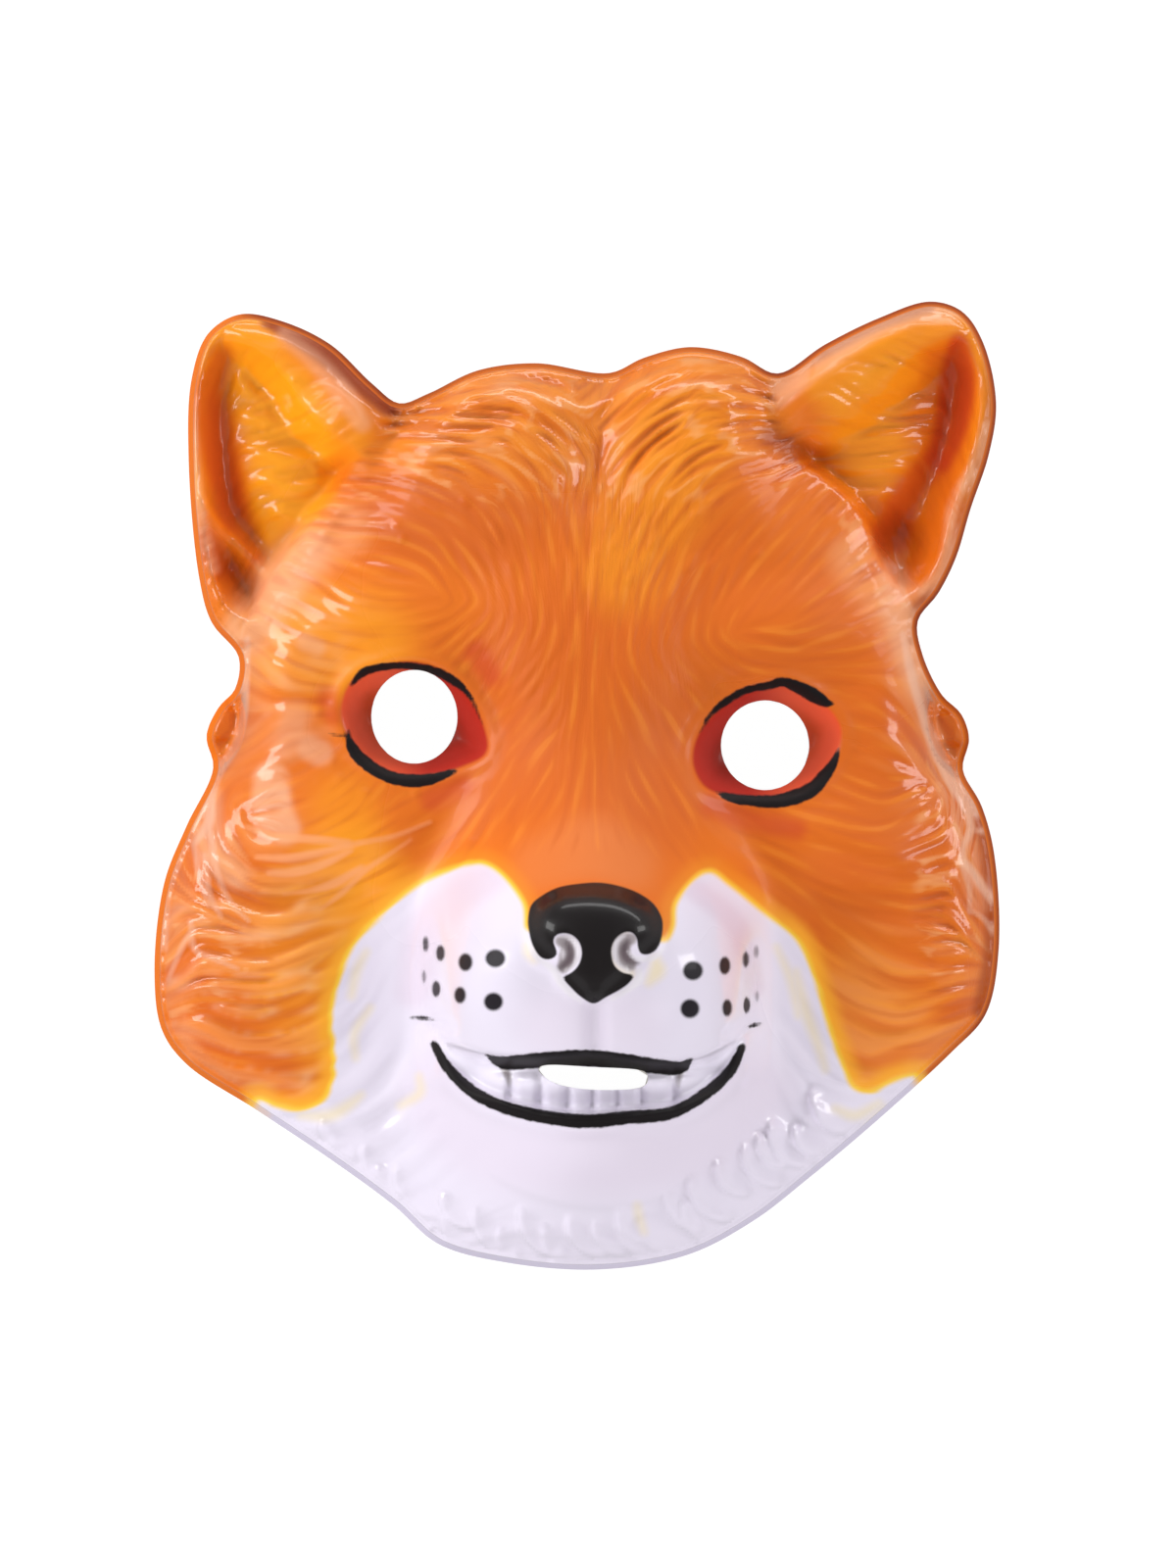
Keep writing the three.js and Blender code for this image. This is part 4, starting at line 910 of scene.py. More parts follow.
proud = crease([(short_line(*hair), *PROUD_HAIR) for hair in PROUD_HAIRS], PROUD_FADE)
drawn = strands + (curls + chin + proud)
height = form + fur_relief + drawn
print("drawn detail up to", round(float(drawn.max()), 2), "mm")

# %% [markdown]
# ## Cutting the net
# A Boolean could cut the sheet out of the net, but it leaves slivers that catch the light. Here the
# net's squares stay whole inside the sheet. Along its edges each square is split in two triangles, and
# each triangle is cut where the sheet ends. Points that already lie close to the edge are moved onto
# it first.

# %% Squares of the net, with near points moved onto the edge
SNAP = 0.28
BACK_STEP = 1.6  # of the net behind


def snapped_net(step):
    """Points of a square net, how far inside the sheet they lie, its squares, and every other square"""
    px, py = np.meshgrid(*[np.arange(NET_LOW[k] + 1, NET_HIGH[k] - 1, step) for k in (0, 1)])
    points = np.column_stack([px.ravel(), py.ravel()])
    level = sample(sheet_level, points[:, 0], points[:, 1])
    ids = np.arange(px.size).reshape(px.shape)
    a, b, c, d = [corner.ravel() for corner in (ids[:-1, :-1], ids[:-1, 1:], ids[1:, 1:], ids[1:, :-1])]
    even = (np.add.outer(np.arange(px.shape[0] - 1), np.arange(px.shape[1] - 1)) % 2 == 0).ravel()
    start = np.concatenate([ids[:, :-1].ravel(), ids[:-1].ravel(), np.where(even, a, b)])
    end = np.concatenate([ids[:, 1:].ravel(), ids[1:].ravel(), np.where(even, c, d)])
    crossing = (level[start] > 0) != (level[end] > 0)
    start, end = start[crossing], end[crossing]
    share = level[start] / (level[start] - level[end])
    spot = points[start] + (points[end] - points[start]) * share[:, None]
    corner = np.concatenate([start, end])
    share = np.concatenate([share, 1 - share])
    spot = np.vstack([spot, spot])
    order = np.argsort(-share)
    order = order[share[order] < SNAP]
    points[corner[order]] = spot[order]
    level[corner[order]] = 0
    return points, level, np.column_stack([a, b, c, d]), even


print("grid behind", snapped_net(BACK_STEP)[0].shape[0], "points")


# %% Cut net
def cut_net(step):
    """Points and faces of a square net cut where the sheet ends"""
    points, level, squares, even = snapped_net(step)
    levels = level[squares]
    whole = levels.min(1) > 0
    faces = squares[whole].tolist()
    points, level = points.tolist(), level.tolist()
    cuts = {}

    def cut(p, q):
        key = (min(p, q), max(p, q))
        if key not in cuts:
            w = level[p] / (level[p] - level[q])
            cuts[key] = len(points)
            points.append([points[p][k] + (points[q][k] - points[p][k]) * w for k in (0, 1)])
            level.append(0)
        return cuts[key]

    for k in np.flatnonzero(~whole & (levels.max(1) >= 0)):
        halves = ((0, 1, 2), (0, 2, 3)) if even[k] else ((0, 1, 3), (1, 2, 3))
        for half in halves:
            ring = []
            for n in range(3):
                p, q = int(squares[k, half[n]]), int(squares[k, half[(n + 1) % 3]])
                if level[p] >= 0:
                    ring.append(p)
                if level[p] * level[q] < 0:
                    ring.append(cut(p, q))
            if len(ring) < 3:
                continue
            if all(level[p] == 0 for p in ring):
                middle = np.mean([points[p] for p in ring], axis=0)
                if sample(sheet_level, middle[:1], middle[1:])[0] <= 0:
                    continue
            faces.append(ring)
    used = np.unique(np.concatenate([np.array(ring) for ring in faces]))
    renumber = {int(old): new for new, old in enumerate(used)}
    return np.array(points)[used], [[renumber[p] for p in ring] for ring in faces]


front_points, front_faces = cut_net(STEP)
back_points, back_faces = cut_net(BACK_STEP)
print("front", len(front_faces), "faces, back", len(back_faces), "faces")


# %% Loops along the cut edges
def edge_loops(faces):
    """Closed loops along the edges of a net, with the net on their left"""
    after = {}
    for face_ring in faces:
        for p, q in zip(face_ring, face_ring[1:] + face_ring[:1]):
            if after.pop((q, p), None) is None:
                after[(p, q)] = True
    follow = dict(after.keys())
    loops = []
    while follow:
        p = next(iter(follow))
        loop = []
        while p in follow:
            loop.append(p)
            p = follow.pop(p)
        loops.append(loop)
    return sorted(loops, key=len, reverse=True)


front_loops = edge_loops(front_faces)
back_loops = edge_loops(back_faces)
print("loops in front", [len(loop) for loop in front_loops], "behind", [len(loop) for loop in back_loops])

# %% [markdown]
# ## Closing the sheet
# The back is the same face one sheet lower and without hairs, because a drawn sheet softens fine
# detail behind. A Solidify modifier could add it, but on steep walls it would fold over itself. So
# the back gets a coarser net and heights of its own. Round the outline the front rolls over into a
# side wall that ends in the flat cut rim. At the holes the two nets are only joined by the cut edge.

# %% Back of the sheet
SHEET = 0.8  # thickness of the sheet
WIDEN = 2  # net points over which the back takes the lowest height
SLOPE_SOFT = 0.6
STEEPEST = 3  # the most a sheet's height may grow on a slope
BACK_LEAST = 0.4  # least height of the back, as a share of the front's


def lowest_around(field, reach):
    """Lowest value of a field within reach points"""
    low_field = field.copy()
    for dy in range(-reach, reach + 1):
        for dx in range(-reach, reach + 1):
            if dx * dx + dy * dy <= reach * reach:
                low_field = np.minimum(low_field, np.roll(field, (dy, dx), (0, 1)))
    return low_field


slope_y, slope_x = np.gradient(blurred(form, SLOPE_SOFT), STEP)
drop = SHEET * np.minimum(STEEPEST, np.sqrt(1 + slope_x**2 + slope_y**2))
back_height = np.minimum(lowest_around(form - plate_depth, WIDEN), height) - drop
back_height = np.maximum(back_height, BACK_LEAST * form)
back_at_edge = np.maximum(height - drop, BACK_LEAST * form)
print("back reaches", round(float(back_height[sheet_level > 0].max()), 2), "mm")

# %% Rows of vertices
FRONT, WALL, RIM_OUT, RIM_IN, HOLE_FRONT, HOLE_BACK, BACK = range(7)
vertices = []
plan = []  # where each vertex takes its paint from
downs = []  # how far down the side wall each vertex lies
kinds = []
count = 0


def add_row(x, y, z, paint_x, paint_y, kind, down=0.0):
    """Adds vertices and returns their numbers"""
    global count
    vertices.append(np.column_stack([x, y, z]))
    plan.append(np.column_stack([paint_x, paint_y]))
    kinds.append(np.full(len(x), kind))
    downs.append(np.full(len(x), down))
    count += len(x)
    return np.arange(count - len(x), count)


fx, fy = front_points.T
front = add_row(fx, fy, sample(height, fx, fy), fx, fy, FRONT)
bx, by = back_points.T
back_edge = np.zeros(len(bx), bool)
back_edge[np.concatenate(back_loops)] = True
back_z = np.where(back_edge, sample(back_at_edge, bx, by), sample(back_height, bx, by))
back = add_row(bx, by, back_z, bx, by, BACK)
printed = [list(ring) for ring in front_faces]
bare = [[int(back[p]) for p in ring[::-1]] for ring in back_faces]
print("vertices in front and behind", count)

# %% Side walls and rim
ROLL_STEPS = 4
WALL_ROWS = 4
WALL_ROUND = 1.2
ROLL_MOST = 0.3  # of the wall's height that the rolled edge may take
WALL_SHARE = 0.4  # of the draft that the rolled edge takes


def strip(upper, lower):
    """Faces between two rows of the same length"""
    after_upper, after_lower = np.roll(upper, -1), np.roll(lower, -1)
    return np.column_stack([after_upper, upper, lower, after_lower]).tolist()


top = front[front_loops[0]]
tx, ty = front_points[front_loops[0]].T
tz = sample(height, tx, ty)
rx, ry = [riding(outline, nearest(tx, ty, outline)[1], outline[:, k]) for k in (0, 1)]


def wall_row(out, z, kind):
    """A row of the side wall, out of the printed edge by a share of the draft"""
    return add_row(tx + (rx - tx) * out, ty + (ry - ty) * out, z, tx, ty, kind, out)


roll = np.minimum(WALL_ROUND, ROLL_MOST * tz)
row = top
rolled = []
sides = []
for k in range(1, ROLL_STEPS + 1):
    angle = math.pi / 2 * k / ROLL_STEPS
    new_row = wall_row(WALL_SHARE * math.sin(angle), tz - roll * (1 - math.cos(angle)), WALL)
    rolled += strip(row, new_row)
    row = new_row
for k in range(1, WALL_ROWS + 1):
    out = WALL_SHARE + (1 - WALL_SHARE) * k / WALL_ROWS
    new_row = wall_row(out, (tz - roll) * (1 - k / WALL_ROWS), RIM_OUT if k == WALL_ROWS else WALL)
    sides += strip(row, new_row)
    row = new_row
reach = np.hypot(rx - tx, ry - ty)
inner_x, inner_y = rx - (rx - tx) / reach * SHEET, ry - (ry - ty) / reach * SHEET
inner_row = add_row(inner_x, inner_y, 0 * tz, tx, ty, RIM_IN)
bare += strip(row, inner_row)
print("side wall", ROLL_STEPS + WALL_ROWS, "rows of", len(top), "points")


# %% Back joined to the rim and the holes
def along_edge(x, y):
    """How far round the outline points lie, from 0 to 1"""
    return nearest(x, y, outline)[1]


def round_hole(x, y):
    """How far round the middle of their loop points lie, from 0 to 1"""
    return (np.arctan2(y - y.mean(), x - x.mean()) / (2 * math.pi)) % 1


def zip_rows(upper, lower, share_of):
    """Triangles between two closed rows of different length, matched by how far round they lie"""
    spots = np.vstack(vertices)
    rows, shares = [], []
    for row in (upper, lower):
        share = share_of(spots[row, 0], spots[row, 1])
        if (np.diff(share) < 0).sum() > len(row) / 2:
            share = 1 - share
        first = int(np.argmin(share))
        share = np.maximum.accumulate(np.roll(share, -first))
        rows.append(np.append(np.roll(row, -first), row[first]).tolist())
        shares.append(np.append(share, share[0] + 1))
    i = j = 0
    faces = []
    while i + 1 < len(rows[0]) or j + 1 < len(rows[1]):
        if j + 1 == len(rows[1]) or (i + 1 < len(rows[0]) and shares[0][i + 1] <= shares[1][j + 1]):
            faces.append([rows[0][i + 1], rows[0][i], rows[1][j]])
            i += 1
        else:
            faces.append([rows[0][i], rows[1][j], rows[1][j + 1]])
            j += 1
    return faces


bare += zip_rows(inner_row, back[back_loops[0]], along_edge)
all_kinds = np.concatenate(kinds)
for loop in front_loops[1:]:
    middle = front_points[loop].mean(0)
    partner = min(back_loops[1:], key=lambda other: math.dist(back_points[other].mean(0), middle))
    bare += zip_rows(front[loop], back[partner], round_hole)
    all_kinds[front[loop]] = HOLE_FRONT
    all_kinds[back[partner]] = HOLE_BACK
print("vertices", count, "printed faces", len(printed), "side faces", len(sides), "bare faces", len(bare))

# %% [markdown]
# ## Paint fields
# The print is airbrushed colour with a few crisp shapes: the white of muzzle and chin, the nose pad,
# lid lines, lips and whisker spots. A painted picture could be wrapped over the mesh, but it would
# blur close up. Each crisp shape is kept as a distance to its edge, in millimetres, at every vertex,
# so the material can draw it sharper than the net.

# %% White, nose and spots
WHITE_EDGE = [
    (-66, -64.6), (-74, -84), (0, -112), (78, -78), (69.5, -60), (64, -60.8), (59.5, -63), (55.5, -62),
    (52.6, -56), (49.8, -48), (47.5, -40), (44, -32), (38, -27), (30, -20.5), (26, -18), (20, -24),
    (19.4, -29), (17.6, -32), (14, -31), (8, -28), (-4, -28.6), (-8.6, -30), (-11.2, -29.4), (-12, -24),
    (-19.5, -16.5), (-28, -18.3), (-34.4, -21.7), (-40, -26.7), (-44.4, -31.1), (-47.2, -35.6),
    (-48.9, -40.5), (-50.3, -47.2), (-49.8, -53.5), (-50, -60.5), (-52, -64.4), (-56.7, -66.6),
    (-62.2, -66),
]
SPOTS = [  # x, y, width, height
    (-31.4, -32.4, 1, 3.6), (-28.4, -34.2, 1.7, 3.4), (-23.3, -36, 2.8, 3.6), (-17.2, -35.2, 4, 3.6),
    (-31.8, -39, 0.7, 3.4), (-29.3, -41.5, 1.6, 3.5), (-24.4, -42.7, 2.3, 3.4), (-17.6, -44, 3.8, 3.6),
    (22.9, -37.7, 4, 3.8), (29.4, -36.7, 2.2, 3.7), (33.7, -35.5, 1.2, 3.6), (35.9, -33.9, 0.7, 3.4),
    (22.3, -45.4, 3.8, 3.8), (29.9, -45.3, 1.9, 3.6), (33.9, -44.8, 1.1, 3.8), (36, -43, 0.6, 3.4),
]
NOSE_BLACK = [
    (-10.6, -27.5), (-9.9, -24.3), (-8, -22.6), (-4.5, -20.8), (0, -20), (4, -19.8), (8, -20.5), (12, -22),
    (15, -24.2), (16.6, -27), (16.8, -29), (16.4, -31.5), (15.5, -33.4), (13.8, -34.4), (12.3, -34.2),
    (11.7, -32.8), (11.5, -31.2), (10.6, -30), (9, -29.9), (7.2, -31.2), (6.4, -33), (6.4, -34.6),
    (7, -36.6), (8.6, -38), (10.9, -38.7), (9.8, -40.3), (8, -41.6), (5.2, -43.1), (2.8, -44.4),
    (0.4, -43.2), (-1.6, -41.4), (-3.5, -38.9), (-2, -38.2), (-0.4, -36.6), (0.3, -34.5), (0.2, -33),
    (-0.4, -31.6), (-1.8, -30.4), (-3.6, -30.1), (-5, -30.6), (-5.4, -31.7), (-4.9, -33.2), (-4.7, -34.4),
    (-5.6, -35.2), (-7, -35.4), (-8.2, -34.8), (-9.6, -32.6), (-10.3, -30.2),
]
WHITE_REACH = 30
NOSE_FINE = (6, 0.4)  # reach and step of the nose's edge
SPOT_FAR = 6.0


def spotted(spots):
    """Distance inside small ovals"""
    level = np.full(X.shape, -SPOT_FAR)
    for x, y, wide, high in spots:
        r = np.hypot((X - x) * 2 / wide, (Y - y) * 2 / high)
        level = np.maximum(level, (1 - r) * np.hypot(X - x, Y - y) / np.maximum(r, TINY))
    return level


fields = {
    "white_edge": inside_of(WHITE_EDGE, WHITE_REACH),
    "spot_edge": spotted(SPOTS),
    "nose_edge": inside_of(NOSE_BLACK, *NOSE_FINE),
    "mouth_edge": in_mouth,
    "eye_edge": np.maximum(in_eye_left, in_eye_right),
}
print("crisp shapes", list(fields))

# %% Ink lines
INK_STROKES = [  # x, y, half width
    [(-46.6, 20.4, 0.4), (-44.2, 22.9, 0.85), (-40.4, 24, 0.8), (-34.9, 24.3, 0.75), (-29.8, 23.3, 0.85),
     (-26.5, 21.7, 0.95), (-23.9, 19.8, 0.7), (-22.2, 17.7, 0.5), (-21, 15.1, 0.35), (-19.8, 12.2, 0.15)],
    [(-47.2, 11.4, 0.3), (-47, 9, 0.8), (-45.9, 6.7, 1.25), (-42.1, 3.3, 1.3), (-37.9, 1.4, 1.3),
     (-33.2, 0.8, 1.35), (-29, 1.6, 1.0), (-25.4, 2.9, 0.5)],
    [(24.3, 10.3, 0.15), (26.4, 14.1, 0.5), (29.4, 16.8, 0.75), (34, 19.4, 0.75), (38.3, 20.2, 0.85),
     (41, 21, 0.95), (44.2, 20, 1.25), (47.5, 18.3, 1.5), (50.1, 16.8, 1.0), (51.8, 16.4, 0.2)],
    [(27.5, -1.3, 0.25), (30.7, -2.6, 0.95), (34.9, -3.2, 1.15), (39.1, -3.4, 1.35), (43.3, -2.6, 1.55),
     (47.5, -0.7, 1.5), (50.1, 2.3, 1.25), (51.8, 4.8, 0.85), (52.7, 7.7, 0.2)],
    [(-29.8, -52.7, 0.8), (-27, -57.5, 1.1), (-22, -62.3, 1.25), (-16, -65.3, 1.3), (-8, -67.3, 1.4),
     (1, -68.3, 1.45), (10, -67.5, 1.4), (18, -66.8, 1.3), (23, -64.5, 1.25), (28, -60.8, 1.2),
     (31, -57.5, 1.1), (33, -53.3, 0.8)],
    [(-19.2, -54.8, 0.3), (-16, -56.4, 1.3), (-10, -56.1, 1.6), (0, -55.5, 1.75), (8, -56.1, 1.75),
     (15, -57.1, 1.6), (20.6, -57.4, 1.3), (23, -55.4, 0.2)],
    [(-34.8, -47.4, 0.2), (-32, -47.4, 0.5), (-29.6, -47.8, 0.2)],
    [(37.2, -48.5, 0.2), (35.5, -48.9, 0.5), (33.6, -49.3, 0.2)],
    [(-51.8, 10.5, 0.1), (-49.6, 10.2, 0.3), (-47.4, 10.2, 0.3)],
]
fields["ink_edge"] = brushed(INK_STROKES)
print("ink lines", len(INK_STROKES))

# %% Greys, painted shade, painted highlights and golden locks
GREY_STROKES = [  # nostrils, then gaps between teeth
    [(-4, -31.6, 1.2), (-2.4, -32.2, 1.9), (-2.2, -34.6, 2.2), (-3.4, -37, 1.3)],
    [(10.4, -31.2, 1.2), (8.8, -31.8, 1.9), (8.4, -34.4, 2), (10.2, -36.4, 1.3)],
    # The next two greys are painted shadow in the dark notches at both ends of the teeth.
    [(-15.4, -57.6, 0.9), (-14.6, -59.4, 0.7), (-14.4, -61.4, 0.2)],
    [(20.4, -58.4, 0.6), (20, -60, 0.5), (20, -61.6, 0.2)],
]
# Painted shade deep in the nostrils' grooves.
NOSTRIL_SHADE_STROKES = [
    [(-2.6, -31.8, 0.3), (-1.9, -33.6, 0.7), (-2.2, -35.6, 0.9), (-4, -37, 0.5)],
    [(9.8, -31.6, 0.4), (8.9, -33.4, 0.8), (9.6, -35.2, 0.9), (11.8, -36, 0.4)],
]
# Painted highlights on the raised rims round the nostrils and under the nose.
RIM_HIGHLIGHT_STROKES = [
    [(-4.4, -30.8, 0.1), (-2.6, -30.8, 0.3), (-0.9, -32.1, 0.5), (-0.4, -34, 0.5), (-1, -36.2, 0.3),
     (-2.4, -37.8, 0.1)],
    [(-4.2, -32.8, 0.1), (-3.5, -34, 0.4), (-3.5, -35.2, 0.2)],
    [(9.2, -30.3, 0.2), (7.5, -31.7, 0.4), (7, -34, 0.5), (7.8, -36.4, 0.4), (10, -37.9, 0.3)],
    [(9.7, -33.7, 0.2), (10.8, -34.8, 0.4), (12.4, -35.4, 0.5), (15, -35, 0.5), (16.8, -33.4, 0.3)],
    [(-10.7, -30.8, 0.2), (-9.4, -34.4, 0.5), (-7, -36.2, 0.6), (-5.2, -37.8, 0.8), (-4, -40, 0.8),
     (-1.4, -42.6, 0.6), (0.4, -44, 0.3)],
    [(12, -37.6, 0.5), (12, -39.4, 0.8), (9.4, -41.6, 0.6), (6.4, -43.4, 0.4)],
]
GOLD_STROKES = [
    [(-57, -67.4, 0.3), (-51, -67.4, 0.8), (-46.8, -65, 0.6), (-44.6, -63.2, 0.2)],
    [(-43.6, -34, 0.2), (-45.6, -38, 0.5), (-46.6, -43, 0.3)],
    [(-42.8, -45.4, 0.2), (-46, -50.8, 0.4), (-45.8, -55.6, 0.2)],
    [(-32.8, -59.4, 0.2), (-32.6, -62.6, 0.5), (-36.6, -65.4, 0.3)],
    [(44, -38, 0.2), (46, -46, 0.7), (48.5, -53, 0.5), (50, -58, 0.2)],
    [(40, -33, 0.1), (43, -40, 0.4), (44.5, -47, 0.2)],
    [(52, -66, 0.3), (56, -67.4, 0.6), (61, -65, 0.3)],
    [(11.6, -85.6, 0.2), (12, -88, 0.4), (13, -91, 0.2)],
    [(9.2, -30.3, 0.1), (7.1, -31.9, 0.3), (6.8, -34, 0.4), (7.6, -36.6, 0.4), (10.4, -38.3, 0.4)],
    [(15.4, -35.6, 0.6), (15.6, -37.6, 1.3), (14, -40, 0.4)],
    [(-10.8, -32.6, 0.3), (-10.4, -34, 0.6), (-9.4, -35.4, 0.3)],
]
strokes = {"grey": GREY_STROKES, "nostril_shade": NOSTRIL_SHADE_STROKES, "rim_highlight": RIM_HIGHLIGHT_STROKES, "gold": GOLD_STROKES}
for name, marks in strokes.items():
    fields[name + "_edge"] = brushed(marks)
fields["strand_edge"] = strand_edge
fields["sheen_crest_edge"] = sheen_crest_edge
print("strokes", {name: len(marks) for name, marks in strokes.items()})

# %% Fields of the fur
SEAM = (0.3, 1.4)  # distance from the head's edge over which fine hairs come back
FINE_FROM = (0.02, 0.3)  # depth of the crests over which fine hairs come in
FINE_LEAST = 0.3
FINE_EARS = 0.2
PLATES_FULL = 2  # how fast the tones of a layer come in with its depth
LINES_FULL = 2.5
CRESTS_FULL = 3
# The pale plate lines are painted highlights along the plates' steps.
LINES_SIDE = (20, -20)  # the pale lines lie on the left cheek
EAR_CREST_LOSS = 0.8
EAR_LOCK_LOSS = 0.6
LOCK_SHARE = 0.1
LOCKS_MIDDLE = 0.5
CORNER_EASE = (-4, 6)
GLOW_LEAST = 0.3  # yellow glow under the nose, and x from the middle over which it gets full
GLOW_EASE = (26, 44)
off_seam = ease(*SEAM, np.abs(in_head)) * (1 - tab_share) + tab_share
let_in = (face_share + FINE_EARS * ear_share) * off_seam * ease(*FINE_AGREED, agreed)
lock_share = LOCK_SHARE * fur["locks"] * furred * (1 - EAR_LOCK_LOSS * ear_share)
fields |= {
    "outer_corner": ease(*CORNER_EASE, np.where(X < 0, HOLE_LEFT[0] - X, X - HOLE_RIGHT[0])),
    "fur_across": fur_across,
    "fur_fine": np.clip(ease(*FINE_FROM, crest_depth) + FINE_LEAST, 0, 1) * let_in,
    "plates": plates * np.clip(PLATES_FULL * plate_depth, 0, 1),
    "plate_lines": plate_lines * np.clip(LINES_FULL * plate_depth, 0, 1) * ease(*LINES_SIDE, X),
    "crests": crests * np.clip(CRESTS_FULL * crest_depth, 0, 1) * (1 - EAR_CREST_LOSS * ear_share),
    "locks": LOCKS_MIDDLE + lock_share,
    "edge_glow": GLOW_LEAST + (1 - GLOW_LEAST) * ease(*GLOW_EASE, np.abs(X - MID_LINE)),
    "furred": np.clip(face_share + ear_share, 0, 1),
}
print("fields", list(fields))

# %% [markdown]
# ## Airbrushed tones and painted light
# The real print shades the orange with soft sprays: darker in the middle and sunny on the ears. Other
# sprays are painted light: pale painted highlights and sheen, painted shade along the edges of ears,
# cheeks and side walls, and painted lavender shade on the muzzle. Such tones have no edge, so they are
# kept as plain amounts. Each is a list of soft strokes, laid one over the other as an airbrush does.

# %% Sprays that colour the fur
AIRBRUSH = {  # softness, amount, strokes of x, y, half width
    "red": [
        (4, 0.7, [(-73.3, 87, 0.5), (-75.4, 79.5, 1.5), (-74.2, 67.2, 1.5), (-70.9, 57.4, 1),
         (-66.4, 46.7, 0.5)]),
        (2, 0.85, [(77.2, 90, 1), (77.2, 83.5, 2.6), (75.8, 73.6, 2.4), (73.4, 66.5, 1.6)]),
        (3, 0.6, [(72, 65.5, 1.6), (67.2, 60, 1.6), (63.5, 51, 2.5)]),
        (3, 0.5, [(-76.5, 50, 1), (-72, 44, 1)]),
        (3, 0.6, [(-51.6, 18, 0.6), (-50.4, 14, 0.3)]),
        # The next three strokes are partly red print and partly painted shade in the eye sockets.
        (3, 0.6, [(-30, -3, 1), (-24, 0, 0.5)]),
        (3, 0.6, [(-21, 27, 1), (-18, 22, 0.5)]),
        (3, 0.6, [(27, -4, 1), (34, -7, 1), (44, -9, 0.5)]),
    ],
    "shade": [
        (22, 0.6, [(25, 45, 6), (45, 28, 8), (60, 5, 6)]),
        (16, 0.5, [(2, -10, 10), (2, 20, 12), (2, 45, 12)]),
        (14, 0.6, [(0, 30, 4), (2, 5, 4)]),
        (12, 0.8, [(-36, 56, 4), (-20, 52, 4)]),
        (10, 0.5, [(-14, 30, 3), (-18, 10, 3), (-16, 0, 3)]),
        (10, 0.5, [(16, 24, 3), (20, 5, 3), (18, -5, 3)]),
        (16, 0.6, [(50, -30, 6), (66, -20, 6)]),
        (6, 0.6, [(-52, 78, 3), (-44, 70, 3)]),
    ],
    "sun": [
        (6, 1.0, [(-70, 84, 3), (-64, 79, 5), (-60, 72, 6), (-59, 62, 6), (-63, 50, 4)]),
        (8, 0.6, [(64, 84, 2), (58, 76, 4), (60, 68, 4)]),
        (5, 0.6, [(-78, 60, 1), (-79, 80, 1), (-74, 93, 1), (-64, 92, 1)]),
        (5, 0.5, [(82, 60, 1), (84, 80, 1), (79, 95, 1), (66, 92, 2), (50, 82, 2)]),
        (14, 0.3, [(-36, 74, 4), (-18, 76, 6), (8, 76, 6), (30, 80, 6)]),
        (6, 0.7, [(-50.5, -38, 1.5), (-53, -48, 1.5), (-53, -62, 1)]),
        (12, 0.35, [(56, -42, 4), (66, -56, 4)]),
        (6, 0.5, [(-66, 90, 2), (-56, 80, 2), (-48, 70, 2)]),
        (12, 0.6, [(-60, 30, 5), (-45, 28, 5)]),
        (12, 0.45, [(9, 44, 2), (14, 56, 4), (20, 68, 4)]),
        (14, 0.4, [(-56, -40, 4), (-66, -30, 4)]),
        (10, 0.7, [(-46, -16, 3), (-54, -24, 4), (-58, -44, 3)]),
        (8, 0.5, [(-40, -20, 1), (-50, -34, 2)]),
        (8, 0.4, [(-48, -5, 3), (-50, -20, 3)]),
        (6, 0.4, [(-49, -42, 2), (-50, -54, 2)]),
    ],
    # Painted sheen: pale pink patches in front of the ears, on the cheeks and on the bridge.
    "painted_sheen": [
        (6, 0.6, [(-70, 25, 1), (-60, 42, 2), (-48, 52, 2)]),
        (6, 0.6, [(70, 22, 1), (64, 36, 2), (56, 46, 2)]),
        (2.5, 0.35, [(-63, 1, 2.5), (-62.6, -5, 3), (-60, -9, 2)]),
        (3, 0.35, [(-76, -2, 1), (-76, -13, 1.5), (-70, -20, 1)]),
        (10, 0.2, [(58, -44, 4), (66, -56, 4)]),
        (7, 0.2, [(-8, -16, 2), (2, -13, 3), (10, -16, 2)]),
    ],
}
print("sprays that colour the fur", {tone: len(sprays) for tone, sprays in AIRBRUSH.items()})
